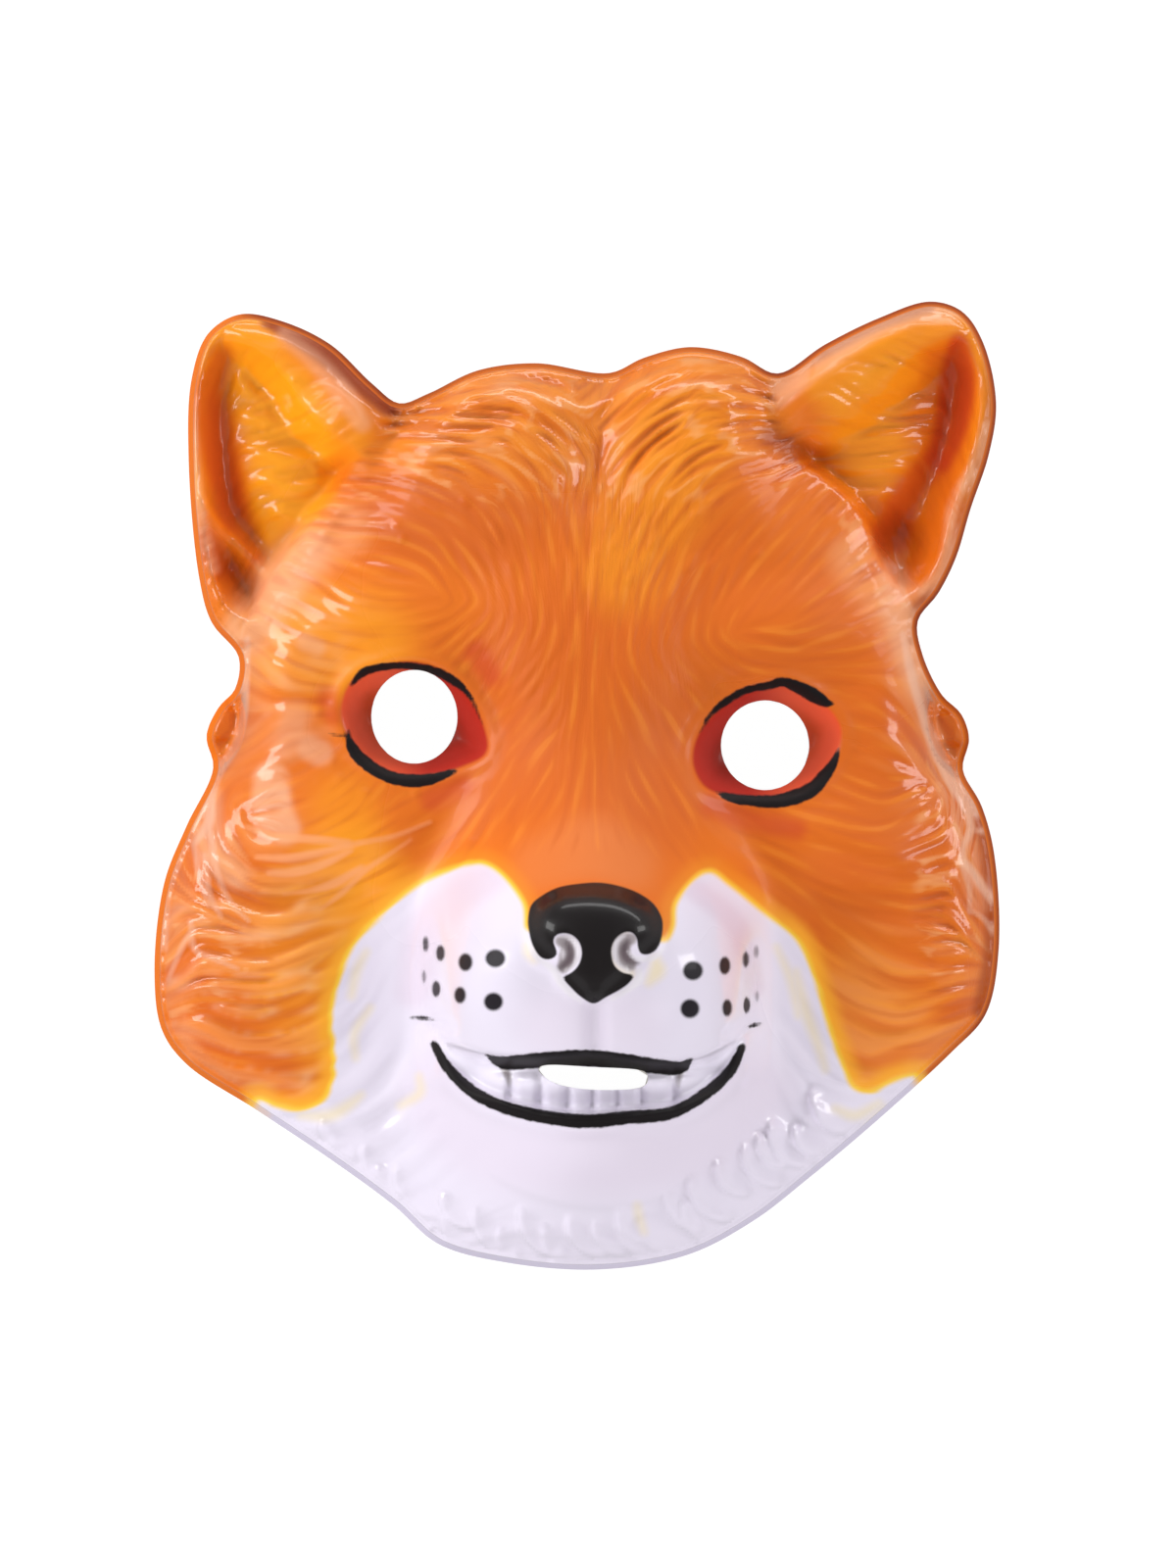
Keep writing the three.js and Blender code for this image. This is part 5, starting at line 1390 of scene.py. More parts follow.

# %% Sprays of painted highlights, painted shade and dull areas
AIRBRUSH |= {
    # Painted highlights: pale streaks on the ears' rolls and rims, along the cheeks' edges, temples and
    # collar.
    "painted_highlight": [
        (2, 0.5, [(-60.5, 91.7, 0.4), (-54, 86.4, 0.9), (-48.5, 80, 1.2), (-44.4, 74, 1)]),
        (2.2, 0.7, [(40, 79.6, 1.6), (46.4, 85.2, 2), (54.7, 90.4, 1.4), (62, 94, 0.8), (70, 96.4, 0.8),
         (78, 96.6, 0.4)]),
        (1.4, 0.6, [(83, 73.6, 0.2), (80.5, 65.3, 0.4), (76.3, 57.8, 0.4), (73.8, 44, 0.4),
         (69.7, 39.6, 0.3)]),
        (1.4, 0.6, [(-79.2, 84, 0.3), (-79, 70, 0.4), (-77.4, 56, 0.4), (-74.6, 44, 0.3)]),
        (4, 0.6, [(64, 42, 1), (67, 30, 2), (70, 20, 1)]),
        (3, 0.3, [(71, 12, 0.5), (75, 2, 1), (78, -10, 1), (81.5, -24, 0.5)]),
        (5, 0.6, [(-68, 32, 2), (-63, 40, 2.5), (-56, 48, 2)]),
        (2, 0.7, [(-63, 1, 2.5), (-62.6, -5, 3), (-60, -9, 2)]),
        (3, 0.5, [(-76, -2, 1), (-75, -13, 1.5), (-70, -18.5, 0.8)]),
        (2, 0.7, [(-55, 7.5, 1.6), (-53, 6.6, 1.6)]),
        (2, 0.6, [(-56, 29, 0.8), (-53.5, 28, 0.6)]),
        (4, 0.5, [(-60, 8, 1), (-58, 14, 1)]),
    ],
    # Painted shade: dark bands along the edges of ears and right cheek, and in creases of the ears.
    "edge_shade": [
        (1.6, 0.95, [(-63.5, 94.8, 1), (-55, 91, 2.2), (-47, 85.2, 2.6), (-39, 78, 2)]),
        (1.6, 0.95, [(41, 84.8, 1.4), (50, 90, 1.7), (60, 94.8, 1.5), (71, 98, 0.9)]),
        (4, 0.7, [(39, 71, 0.6), (44, 68.4, 0.6)]),
        (2, 0.9, [(77.4, 47, 0.6), (75.2, 41, 1), (71, 36, 1.4), (69, 30, 1)]),
        (2, 0.7, [(80.6, -3, 0.8), (83.2, -14, 0.8), (84, -34, 0.8), (81.6, -46, 0.6)]),
        (3, 0.3, [(-76.5, 50, 0.5), (-73, 45, 1), (-69, 38, 1)]),
        (3, 0.7, [(84.4, 86, 0.6), (84.6, 76, 0.6), (82, 64.5, 0.5), (77.2, 48, 0.6), (74.7, 39.6, 0.8),
         (69.4, 35.4, 0.8)]),
    ],
    "matt": [
        (12, 1.0, [(2, -14, 18), (2, 10, 16), (1, 35, 12)]),
        (12, 0.8, [(20, 62, 8), (32, 52, 8), (58, 28, 6)]),
        (10, 0.8, [(-28, 2, 2), (-32, -22, 2)]),
        (10, 0.8, [(32, -2, 2), (36, -22, 2)]),
        (16, 0.8, [(50, -10, 6), (58, -40, 8)]),
        (14, 0.6, [(-25, 40, 8), (30, 40, 8)]),
        (3, 0.8, [(-52, 10, 1), (-50.4, 19, 1), (-44, 26, 1)]),
        (3, 0.7, [(-58.6, 86.4, 1), (-52, 80, 1.6), (-46, 73, 1.4)]),
        (3, 0.7, [(42, 78, 1), (50, 84, 1.4), (62, 90, 1.4), (74, 92.6, 1)]),
        (6, 0.75, [(-44, 68, 3), (-49, 60, 4), (-56, 48, 4), (-62, 38, 3)]),
        (8, 0.6, [(-41, 66, 4), (-34, 60, 4)]),
        (2, 0.6, [(83.9, 86, 1), (83.6, 76, 1), (81.2, 65, 1), (77.6, 55, 1), (75.2, 46, 1)]),
    ],
    # Painted lavender shade along the muzzle's sides, under the nose, round the mouth and on the chin.
    "lavender_shade": [
        (4, 0.6, [(-17, -18, 1), (-25, -23, 1.6), (-31, -29, 2), (-34, -42, 1.4)]),
        (2.5, 0.8, [(17, -17.5, 0.8), (25, -22.5, 1), (32, -29, 1), (35.6, -41, 0.6)]),
        (9, 0.3, [(-6, -48, 2), (10, -48, 2)]),
        (8, 0.35, [(-30, -62, 3), (-22, -72, 3), (2, -76, 4), (26, -72, 3), (36, -62, 3)]),
    ],
    # Painted shade on the side walls, along the upper and right edges.
    "wall_shade": [
        (5, 0.9, [(-64, 95.5, 2), (-52, 90, 2), (-42, 80, 2)]),
        (5, 0.45, [(-36, 79, 2), (-22, 84, 2), (-9, 86, 2), (6, 84, 2), (22, 90, 2), (36, 86, 2)]),
        (5, 0.9, [(40, 84, 2), (60, 96, 2), (76, 97, 2), (84, 84, 2), (84, 70, 2), (76, 46, 2),
         (70, 34, 2)]),
        (5, 0.8, [(70, 34, 2), (70, 26, 2), (79, 10, 3), (84, -14, 2), (86, -34, 2), (82, -48, 2)]),
        (5, 0.5, [(82, -48, 2), (76, -55, 2), (61, -68, 2)]),
    ],
}
print("tones", {tone: len(sprays) for tone, sprays in AIRBRUSH.items()})

# %% Spraying
SPRAY_STEP = 2


def airbrushed(sprays):
    """Amount of one airbrushed colour, from 0 to 1"""
    left_bare = np.ones(X.shape)
    for soft, amount, marks in sprays:
        line = smooth_line(marks, step=SPRAY_STEP)
        distance, share = nearest(X, Y, line)
        left_bare *= 1 - amount * ease(soft, 0, distance - riding(line, share, line[:, 2]))
    return 1 - left_bare


for tone, sprays in AIRBRUSH.items():
    fields["tone_" + tone] = airbrushed(sprays)
print("fields in all", len(fields))

# %% [markdown]
# ## The mesh
# All rows become one mesh in the packed model's place. The outline's middle is the origin of the
# model, so the drawing moves there. Every field is stored as an attribute of the mesh's points, where
# a material can read it. Edges of the cut sheet are marked sharp, everything else is shaded smooth.

# %% Build the mask
MERGE = 0.01 * MM
middle_of_outline = (outline.min(0) + outline.max(0)) / 2
spots = np.vstack(vertices)
spots[:, :2] -= middle_of_outline
mesh = bpy.data.meshes.new("formed_fox_mask")
mesh.from_pydata((spots * MM).tolist(), [], printed + rolled + bare + sides)
face_counts = [len(printed) + len(rolled), len(bare), len(sides)]
mesh.polygons.foreach_set("material_index", np.repeat([0, 1, 2], face_counts).astype(np.int32))
mesh.polygons.foreach_set("use_smooth", np.ones(sum(face_counts), bool))
paint_x, paint_y = np.vstack(plan).T
for name, field in fields.items():
    store = mesh.attributes.new(name, "FLOAT", "POINT")
    store.data.foreach_set("value", sample(field, paint_x, paint_y).astype(np.float32))
store = mesh.attributes.new("down_wall", "FLOAT", "POINT")
store.data.foreach_set("value", np.concatenate(downs).astype(np.float32))
ends = np.zeros(2 * len(mesh.edges), np.int32)
mesh.edges.foreach_get("vertices", ends)
first, second = all_kinds[ends.reshape(-1, 2)].T
sharp = mesh.attributes.new("sharp_edge", "BOOLEAN", "EDGE")
cut_kinds = (RIM_OUT, RIM_IN, HOLE_FRONT, HOLE_BACK)
sharp.data.foreach_set("value", (first == second) & np.isin(first, cut_kinds))
work = bmesh.new()
work.from_mesh(mesh)
bmesh.ops.remove_doubles(work, verts=work.verts, dist=MERGE)
work.to_mesh(mesh)
work.free()
mask = bpy.data.objects.new("formed_fox_mask", mesh)
bpy.context.scene.collection.objects.link(mask)
triangles = sum(len(polygon.vertices) - 2 for polygon in mesh.polygons)
print("mask", len(mesh.vertices), "vertices,", triangles, "triangles")

# %% [markdown]
# ## Node tools
# Materials are built from the same few moves: read a field, turn it into a mask, lay one colour over
# another. They could be wired by hand in the shader editor. A small helper keeps each of these moves
# on one line, so a material reads like a recipe.


# %% Node helper
def colour(red, green, blue):
    """A colour as seen on screen, from 0 to 255, as the shader wants it"""
    parts = [value / 255 for value in (red, green, blue)]
    return tuple(p / 12.92 if p <= 0.04045 else ((p + 0.055) / 1.055) ** 2.4 for p in parts) + (1,)


class Bench:
    """One node tree with short ways to add nodes and join them"""

    def __init__(self, tree):
        self.tree = tree
        tree.nodes.clear()

    def add(self, kind, feeds=(), **settings):
        made = self.tree.nodes.new("ShaderNode" + kind)
        for name, value in settings.items():
            setattr(made, name, value)
        for socket, value in dict(feeds).items():
            if isinstance(value, bpy.types.NodeSocket):
                self.tree.links.new(value, made.inputs[socket])
            else:
                made.inputs[socket].default_value = value
        return made

    def field(self, name):
        return self.add("Attribute", attribute_name=name).outputs["Fac"]

    def maths(self, operation, a, b):
        return self.add("Math", {0: a, 1: b}, operation=operation).outputs[0]

    def mask(self, value, start, end):
        feeds = {"Value": value, "From Min": start, "From Max": end}
        return self.add("MapRange", feeds, interpolation_type="SMOOTHSTEP").outputs["Result"]

    def lay(self, under, over, share):
        return self.add("Mix", {0: share, 6: under, 7: over}, data_type="RGBA").outputs[2]

    def stamp(self, under, edge, start, full, paint, amount=1.0):
        """A colour laid inside an edge, from where it starts to where it is full"""
        share = self.mask(edge, start, full)
        if amount < 1:
            share = self.maths("MULTIPLY", share, amount)
        return self.lay(under, colour(*paint), share)


print("helper", Bench.__doc__)


# %% Groups of nodes
def group(name, takes, gives):
    """An empty node group with named sockets"""
    tree = bpy.data.node_groups.new(name, "ShaderNodeTree")
    for socket, (kind, value) in takes.items():
        made = tree.interface.new_socket(socket, in_out="INPUT", socket_type="NodeSocket" + kind)
        made.default_value = value
    for socket, kind in gives.items():
        tree.interface.new_socket(socket, in_out="OUTPUT", socket_type="NodeSocket" + kind)
    bench = Bench(tree)
    return bench, tree.nodes.new("NodeGroupInput").outputs, tree.nodes.new("NodeGroupOutput").inputs


def floats(names, value=0.0):
    """Plain inputs of a group that share one value"""
    return {name: ("Float", value) for name in names}


print("plain inputs, for one", floats(["Share"]))

# %% [markdown]
# ## Drawn sheet
# A plastic sheet that was drawn hot is never a perfect mirror: it has a faint ripple and its gloss
# changes a little. A scanned texture could show it, but noise in the object's own space has no seams.
# Front and back share it, so it is a group that gives a roughness and a height.

# %% Group for the drawn sheet
HALF = 0.5  # middle of a noise
RIPPLE_DETAIL = 2.0
HAZE = {"Scale": 60.0, "Detail": 3.0}
bench, taken, given = group(
    "drawn_sheet",
    {"Roughness": ("Float", 0.3), "Gloss change": ("Float", 0.05), "Ripple size": ("Float", 700.0)},
    {"Roughness": "Float", "Height": "Float"},
)
place = bench.add("TexCoord").outputs["Object"]
fine = {"Vector": place, "Scale": taken["Ripple size"], "Detail": RIPPLE_DETAIL}
ripple = bench.add("TexNoise", fine).outputs["Fac"]
haze = bench.add("TexNoise", {"Vector": place, **HAZE}).outputs["Fac"]
change = bench.maths("MULTIPLY", bench.maths("SUBTRACT", haze, HALF), taken["Gloss change"])
bench.tree.links.new(bench.maths("ADD", taken["Roughness"], change), given["Roughness"])
bench.tree.links.new(ripple, given["Height"])
drawn_sheet = bench.tree
print("group", drawn_sheet.name)

# %% [markdown]
# ## Printed fur and painted light
# The orange fur is one colour shifted by airbrushed tones, with painted shade in the furrows and painted
# highlights on the hairs and crests that follow the relief. Sprayed painted sheen, painted highlights
# and painted edge shade are laid over it. One flat orange would look like a toy from close up, and a
# painted picture would not follow the relief. So each layer of the relief is read twice, low for a
# painted shade and high for a painted highlight; the locks are only a random tone. The side walls
# carry the same orange without its fine lines.

# %% Tones of the fur print, with painted shade and painted highlights
# Painted sheen is a pale painted highlight, laid under the relief tones.
UNDER_TONES = {"Shade": (214, 98, 18), "Sun": (254, 162, 22), "Painted sheen": (246, 162, 104)}
# Plates, crests and hairs: the dark tones are painted shade in furrows, the pale tones painted highlights
# on ridges. The locks are a random tone.
RELIEF_TONES = [  # input, where its tone starts and is full, colour, amount
    ("Plates", 0.1, -0.8, (218, 94, 18), 0.5), ("Plates", 0.0, 0.8, (242, 148, 80), 0.5),
    ("Crests", 0.1, -1.0, (204, 86, 18), 0.45), ("Crests", 0.25, 0.58, (248, 176, 112), 0.5),
    ("Locks", 0.5, 0.32, (208, 92, 20), 0.4), ("Locks", 0.52, 0.7, (252, 156, 46), 0.28),
    ("Hairs", 0.46, 0.3, (200, 84, 20), 0.35), ("Hairs", 0.56, 0.7, (250, 160, 78), 0.3),
]
# Edge shade is painted shade along the edges of ears, cheeks and side walls.
OVER_TONES = {"Red": (206, 68, 28), "Edge shade": (150, 54, 6)}
# Painted highlights: pale lines along the plates' steps, and pale streaks where hairs and crests carry
# them.
PLATE_LINE = ((250, 188, 146), 0.55)
PAINTED_HIGHLIGHT = ((244, 184, 146), (0.4, 0.56), (0.0, 0.5))  # colour, and where hairs and crests carry it
ORANGE = (231, 116, 20)
print("tones", len(UNDER_TONES) + len(RELIEF_TONES) + len(OVER_TONES))

# %% Group for the fur print and its painted light
bench, taken, given = group(
    "fur_print_and_painted_light",
    {
        "Orange": ("Color", colour(*ORANGE)),
        **floats(["Shade", "Sun", "Red", "Painted sheen", "Edge shade", "Plates", "Plate lines", "Crests", "Painted highlight"]),
        **floats(["Hairs", "Locks"], HALF),
    },
    {"Color": "Color"},
)
ink = taken["Orange"]
for name, paint in UNDER_TONES.items():
    ink = bench.lay(ink, colour(*paint), taken[name])
for name, start, full, paint, amount in RELIEF_TONES:
    ink = bench.stamp(ink, taken[name], start, full, paint, amount)
for name, paint in OVER_TONES.items():
    ink = bench.lay(ink, colour(*paint), taken[name])
ink = bench.lay(ink, colour(*PLATE_LINE[0]), bench.maths("MULTIPLY", taken["Plate lines"], PLATE_LINE[1]))
pale_hairs = bench.mask(taken["Hairs"], *PAINTED_HIGHLIGHT[1])
strand = bench.maths("MAXIMUM", pale_hairs, bench.mask(taken["Crests"], *PAINTED_HIGHLIGHT[2]))
ink = bench.lay(ink, colour(*PAINTED_HIGHLIGHT[0]), bench.maths("MULTIPLY", taken["Painted highlight"], strand))
bench.tree.links.new(ink, given["Color"])
fur_print_and_painted_light = bench.tree
print("group", fur_print_and_painted_light.name)


def fur_colour(bench, feeds):
    """The fur print with its painted shade and highlights in a material, fed from the mesh"""
    print_fur = bench.add("Group", node_tree=fur_print_and_painted_light)
    for name, source in feeds.items():
        bench.tree.links.new(source, print_fur.inputs[name])
    return print_fur.outputs["Color"]

# %% [markdown]
# ## Fine hairs
# Single hairs are finer than the net can hold. They could be particles, but the real ones are
# scratches in a mould. A noise that is stretched along the fur gives them: the mesh carries a field
# that rises across the fur, and the noise runs quickly along that field and slowly over the sheet.
# The group gives the same lines as a height and as a value for their painted shade and highlights.

# %% Group for fine hairs
HAIR_NOISE = {"Scale": 1.0, "Detail": 2.0, "Roughness": 0.6}
bench, taken, given = group(
    "fine_hairs",
    {
        "Across": ("Float", 0.0), "Share": ("Float", 1.0),
        "Hairs per mm": ("Float", 1.5), "Change per m": ("Float", 90.0),
    },
    {"Line": "Float", "Height": "Float"},
)
place = bench.add("TexCoord").outputs["Object"]
spread = {0: place, "Scale": taken["Change per m"]}
slow = bench.add("VectorMath", spread, operation="SCALE").outputs["Vector"]
fast = bench.maths("MULTIPLY", taken["Across"], taken["Hairs per mm"])
quick = bench.add("CombineXYZ", {"Z": fast}).outputs["Vector"]
run = bench.add("VectorMath", {0: slow, 1: quick}, operation="ADD").outputs["Vector"]
line = bench.add("TexNoise", {"Vector": run, **HAIR_NOISE}).outputs["Fac"]
bent = bench.maths("MULTIPLY", bench.maths("SUBTRACT", line, HALF), taken["Share"])
bent = bench.maths("ADD", bent, HALF)
bench.tree.links.new(bent, given["Line"])
bench.tree.links.new(bent, given["Height"])
fine_hairs = bench.tree
print("group", fine_hairs.name)

# %% [markdown]
# ## Printed gloss plastic and painted light
# The front carries the print in layers, from the fur up: golden edge, white, eyes, spots and ink, with
# painted highlights and painted shade among them. Each could be a material of its own, but then an edge
# could be no sharper than the net. So they are colours laid one over the other in one material, and its
# gloss is one clear surface over all.

# %% Fur of the front
WHITE_LOOSE = (-2.5, 1.0)  # where fine hairs end at the white
# Painted highlights on the raised strands and crests of the cheeks.
PAINTED_HAIR_HIGHLIGHTS = {  # where a colour starts and is full, in millimetres inside its edge, colour, amount
    "strand_edge": (-0.5, 0.5, (250, 166, 110), 0.75),
    "sheen_crest_edge": (-0.7, 0.5, (240, 188, 160), 0.6),
}
front_plastic = bpy.data.materials.new("gloss_plastic_print_and_painted_light")
front_plastic.use_nodes = True
bench = Bench(front_plastic.node_tree)
in_white = bench.mask(bench.field("white_edge"), *WHITE_LOOSE)
hair_share = bench.maths("MULTIPLY", bench.field("fur_fine"), bench.maths("SUBTRACT", 1.0, in_white))
hair = bench.add("Group", {"Across": bench.field("fur_across"), "Share": hair_share}, node_tree=fine_hairs)
furred_only = {
    name: bench.maths("MULTIPLY", bench.field(name), bench.field("furred")) for name in ("plates", "crests")
}
ink = fur_colour(bench, {
    "Shade": bench.field("tone_shade"), "Sun": bench.field("tone_sun"), "Red": bench.field("tone_red"),
    "Painted sheen": bench.field("tone_painted_sheen"), "Hairs": hair.outputs["Line"], "Locks": bench.field("locks"),
    "Edge shade": bench.field("tone_edge_shade"), "Painted highlight": bench.field("tone_painted_highlight"),
    "Plates": furred_only["plates"], "Plate lines": bench.field("plate_lines"),
    "Crests": furred_only["crests"],
})
for name, layer in PAINTED_HAIR_HIGHLIGHTS.items():
    ink = bench.stamp(ink, bench.field(name), *layer)
print("fur of the front", len(front_plastic.node_tree.nodes), "nodes")

# %% White with its golden edge
FEATHER = 1.2  # millimetres by which locks fray the white's edge
AMBER = ((-5.0, -1.2), (253, 170, 40))
YELLOW = (-1.7, -0.4, (253, 210, 66), 0.85)
WHITE = ((-0.7, 0.5), (233, 225, 241))
# Lavender painted shade on the white.
LAVENDER_SHADE = (224, 208, 226)
# A lighter white inside the mouth's hollow is painted light that lifts its shade.
MOUTH_PAINTED_LIGHT = (0.0, 2.5, (244, 237, 253))
GOLD = ((-1.7, 1.1), (250, 226, 110), 0.42)
feather = bench.maths("MULTIPLY", bench.maths("SUBTRACT", bench.field("locks"), HALF), FEATHER)
white_edge = bench.maths("ADD", bench.field("white_edge"), feather)
glow = bench.maths("MULTIPLY", bench.mask(white_edge, *AMBER[0]), bench.field("edge_glow"))
ink = bench.lay(ink, colour(*AMBER[1]), glow)
ink = bench.stamp(ink, white_edge, *YELLOW)
in_white = bench.mask(white_edge, *WHITE[0])
ink = bench.lay(ink, colour(*WHITE[1]), in_white)
# Painted lavender shade on the white.
ink = bench.lay(ink, colour(*LAVENDER_SHADE), bench.maths("MULTIPLY", bench.field("tone_lavender_shade"), in_white))
# Painted light inside the mouth's hollow.
ink = bench.stamp(ink, bench.field("mouth_edge"), *MOUTH_PAINTED_LIGHT)
gold = bench.maths("MULTIPLY", bench.mask(bench.field("gold_edge"), *GOLD[0]), GOLD[2])
ink = bench.lay(ink, colour(*GOLD[1]), bench.maths("MULTIPLY", gold, in_white))
print("with the white", len(front_plastic.node_tree.nodes), "nodes")

# %% Eyes, spots, nose and ink
LID = (-1.3, -0.3)
EYE_HOLLOW = (2.0, 5.0)
RIM_REDS = ((184, 34, 14), (230, 86, 48))  # at the inner and the outer corner
# The darker reds deeper in the eye's hollow are painted shade.
HOLLOW_SHADE_REDS = ((158, 34, 12), (204, 74, 30))
SPOT = ((-0.5, 0.35), (34, 29, 36))
# Greys of nostrils and mouth corners, painted shade in the nostrils' grooves and painted highlights on
# their rims.
SOFT_GREYS = {
    "grey_edge": (-0.5, 0.6, (164, 154, 158)),
    "nostril_shade_edge": (-0.7, 0.7, (104, 90, 96)),
    "rim_highlight_edge": (-0.5, 0.5, (236, 230, 238)),
}
RAGGED = 0.5  # millimetres by which the sheet's ripple roughens an ink line
INK_EDGE = (-0.25, 0.25)
INK = (22, 17, 19)
NOSE_INK = (24, 19, 20)
eye_edge = bench.field("eye_edge")
corner = bench.field("outer_corner")
in_eye = bench.mask(eye_edge, *LID)
rim_red, hollow_shade_red = [
    bench.lay(colour(*inner), colour(*outer), corner) for inner, outer in (RIM_REDS, HOLLOW_SHADE_REDS)
]
ink = bench.lay(ink, rim_red, in_eye)
# Painted shade deeper in the eye's hollow.
ink = bench.lay(ink, hollow_shade_red, bench.mask(eye_edge, *EYE_HOLLOW))
in_spot = bench.mask(bench.field("spot_edge"), *SPOT[0])
ink = bench.lay(ink, colour(*SPOT[1]), in_spot)
for name, layer in SOFT_GREYS.items():
    ink = bench.stamp(ink, bench.field(name), *layer)
grain = bench.add("Group", node_tree=drawn_sheet).outputs["Height"]
ragged = bench.maths("MULTIPLY", bench.maths("SUBTRACT", grain, HALF), RAGGED)
in_ink = bench.mask(bench.maths("ADD", bench.field("ink_edge"), ragged), *INK_EDGE)
ink = bench.lay(ink, colour(*INK), in_ink)
in_nose_black = bench.mask(bench.field("nose_edge"), *INK_EDGE)
ink = bench.lay(ink, colour(*NOSE_INK), in_nose_black)
print("with eyes, spots and ink", len(front_plastic.node_tree.nodes), "nodes")

# %% [markdown]
# ### Gloss of the front
# Where the sheet was stretched over a smooth part of the mould it shines like lacquer, and where ink
# or fine hairs lie it is duller. A second material would leave a line between the two, so a coat's
# weight changes over the surface instead, and the roughness below it follows.

# %% Gloss and relief of the front
NOSE_SHINE = 0.65  # how much of the matt tone is lifted on the nose
DULL_EYE = 0.85
DULL_SPOT = 0.88
DULL_NOSE = 0.5
MATT_ROUGH = 0.3  # roughness that full dullness adds
GLOSS_ROUGH = 0.26
RIPPLE = {"Strength": 0.1, "Distance": 0.1 * MM}
HAIR_BUMP = {"Distance": 0.45 * MM}
COAT = {"Specular IOR Level": 0.35, "Coat Roughness": 0.09}
sheet = bench.add("Group", node_tree=drawn_sheet)
ripple = bench.add("Bump", {"Height": sheet.outputs["Height"], **RIPPLE})
on_ripple = {"Height": hair.outputs["Height"], "Normal": ripple.outputs["Normal"]}
bump = bench.add("Bump", {**on_ripple, **HAIR_BUMP})
off_nose = bench.maths("SUBTRACT", 1.0, bench.maths("MULTIPLY", in_nose_black, NOSE_SHINE))
dull = bench.maths("MULTIPLY", bench.field("tone_matt"), off_nose)
for other in (
    in_ink, bench.maths("MULTIPLY", in_eye, DULL_EYE), bench.maths("MULTIPLY", in_spot, DULL_SPOT),
    bench.field("tone_edge_shade"),
):
    dull = bench.maths("MAXIMUM", dull, other)
coat_off = bench.maths("MAXIMUM", dull, bench.maths("MULTIPLY", in_nose_black, DULL_NOSE))
gloss = bench.maths("SUBTRACT", 1.0, coat_off)
rough = bench.maths("ADD", bench.maths("MULTIPLY", dull, MATT_ROUGH), GLOSS_ROUGH)
bench.tree.links.new(rough, sheet.inputs["Roughness"])
shader = bench.add("BsdfPrincipled", {
    "Base Color": ink, "Roughness": sheet.outputs["Roughness"], "Normal": bump.outputs["Normal"],
    "Coat Weight": gloss, **COAT,
})
bench.add("OutputMaterial", {"Surface": shader.outputs["BSDF"]})
print("material", front_plastic.name, len(front_plastic.node_tree.nodes), "nodes")

# %% [markdown]
# ## Side walls
# The side walls were stretched most when the sheet was drawn, so their gloss is gone and their print
# has run into a plain orange and lavender under the chin. Umber on the upper and right walls, darker
# towards the rim, is painted shade. They could share the front's material, but its crisp shapes would
# smear down the wall, so they get a plainer one of their own.

# %% Material of the side walls
# Painted shade on the walls, coming in further down the wall.
WALL_SHADE_DOWN = (0.3, 0.9)  # how far down the wall the umber comes in
WALL_AMBER = (-3.0, -0.6, (250, 190, 70))
WALL_LAVENDER = (-0.8, 0.9, (214, 206, 226))
WALL_FINISH = {"Roughness": 0.6, "Specular IOR Level": 0.08}
side_plastic = bpy.data.materials.new("side_wall_with_painted_shade")
side_plastic.use_nodes = True
bench = Bench(side_plastic.node_tree)
lower = bench.mask(bench.field("down_wall"), *WALL_SHADE_DOWN)
ink = fur_colour(bench, {"Edge shade": bench.maths("MULTIPLY", bench.field("tone_wall_shade"), lower)})
for layer in (WALL_AMBER, WALL_LAVENDER):
    ink = bench.stamp(ink, bench.field("white_edge"), *layer)
shader = bench.add("BsdfPrincipled", {"Base Color": ink, **WALL_FINISH})
bench.add("OutputMaterial", {"Surface": shader.outputs["BSDF"]})
print("material", side_plastic.name)

# %% [markdown]
# ## Bare back
# The back and the cut edges show the unprinted sheet, a slightly milky white plastic. One flat white
# would do from afar. A faint cloud in its colour and the drawn sheet's ripple keep it from looking
# like paper.

# %% Material of the back
BARE_SHEET = {"Roughness": 0.38, "Gloss change": 0.12}
CLOUD = {"Scale": 25.0, "Detail": 4.0}
CLOUD_EDGE = (0.35, 0.7)
MILK = (240, 238, 232)
MILK_SHADE = (226, 222, 214)
BARE_RIPPLE = {"Strength": 0.2, "Distance": 0.1 * MM}
back_plastic = bpy.data.materials.new("bare_white_plastic")
back_plastic.use_nodes = True
bench = Bench(back_plastic.node_tree)
sheet = bench.add("Group", BARE_SHEET, node_tree=drawn_sheet)
place = bench.add("TexCoord").outputs["Object"]
cloud = bench.add("TexNoise", {"Vector": place, **CLOUD}).outputs["Fac"]
milk = bench.stamp(colour(*MILK), cloud, *CLOUD_EDGE, MILK_SHADE)
bump = bench.add("Bump", {"Height": sheet.outputs["Height"], **BARE_RIPPLE})
shader = bench.add("BsdfPrincipled", {
    "Base Color": milk, "Roughness": sheet.outputs["Roughness"], "Normal": bump.outputs["Normal"],
})
bench.add("OutputMaterial", {"Surface": shader.outputs["BSDF"]})
print("material", back_plastic.name)

# %% Materials and place in the model
mesh.materials.append(front_plastic)
mesh.materials.append(back_plastic)
mesh.materials.append(side_plastic)
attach(mask, "root")
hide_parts("mask_shell")
print("materials", [material.name for material in mesh.materials])

# %% [markdown]
# ## Studio
# The mask lies on a white table and is seen straight from above, which is its front view. The table
# is lit from within, as a light table is, so it stays white through the holes and casts no shadow.
# Large soft boxes stand low at both sides and above the ears, and their mirror images in the gloss,
# together with painted highlights, are the pale patches and lines on the fur.

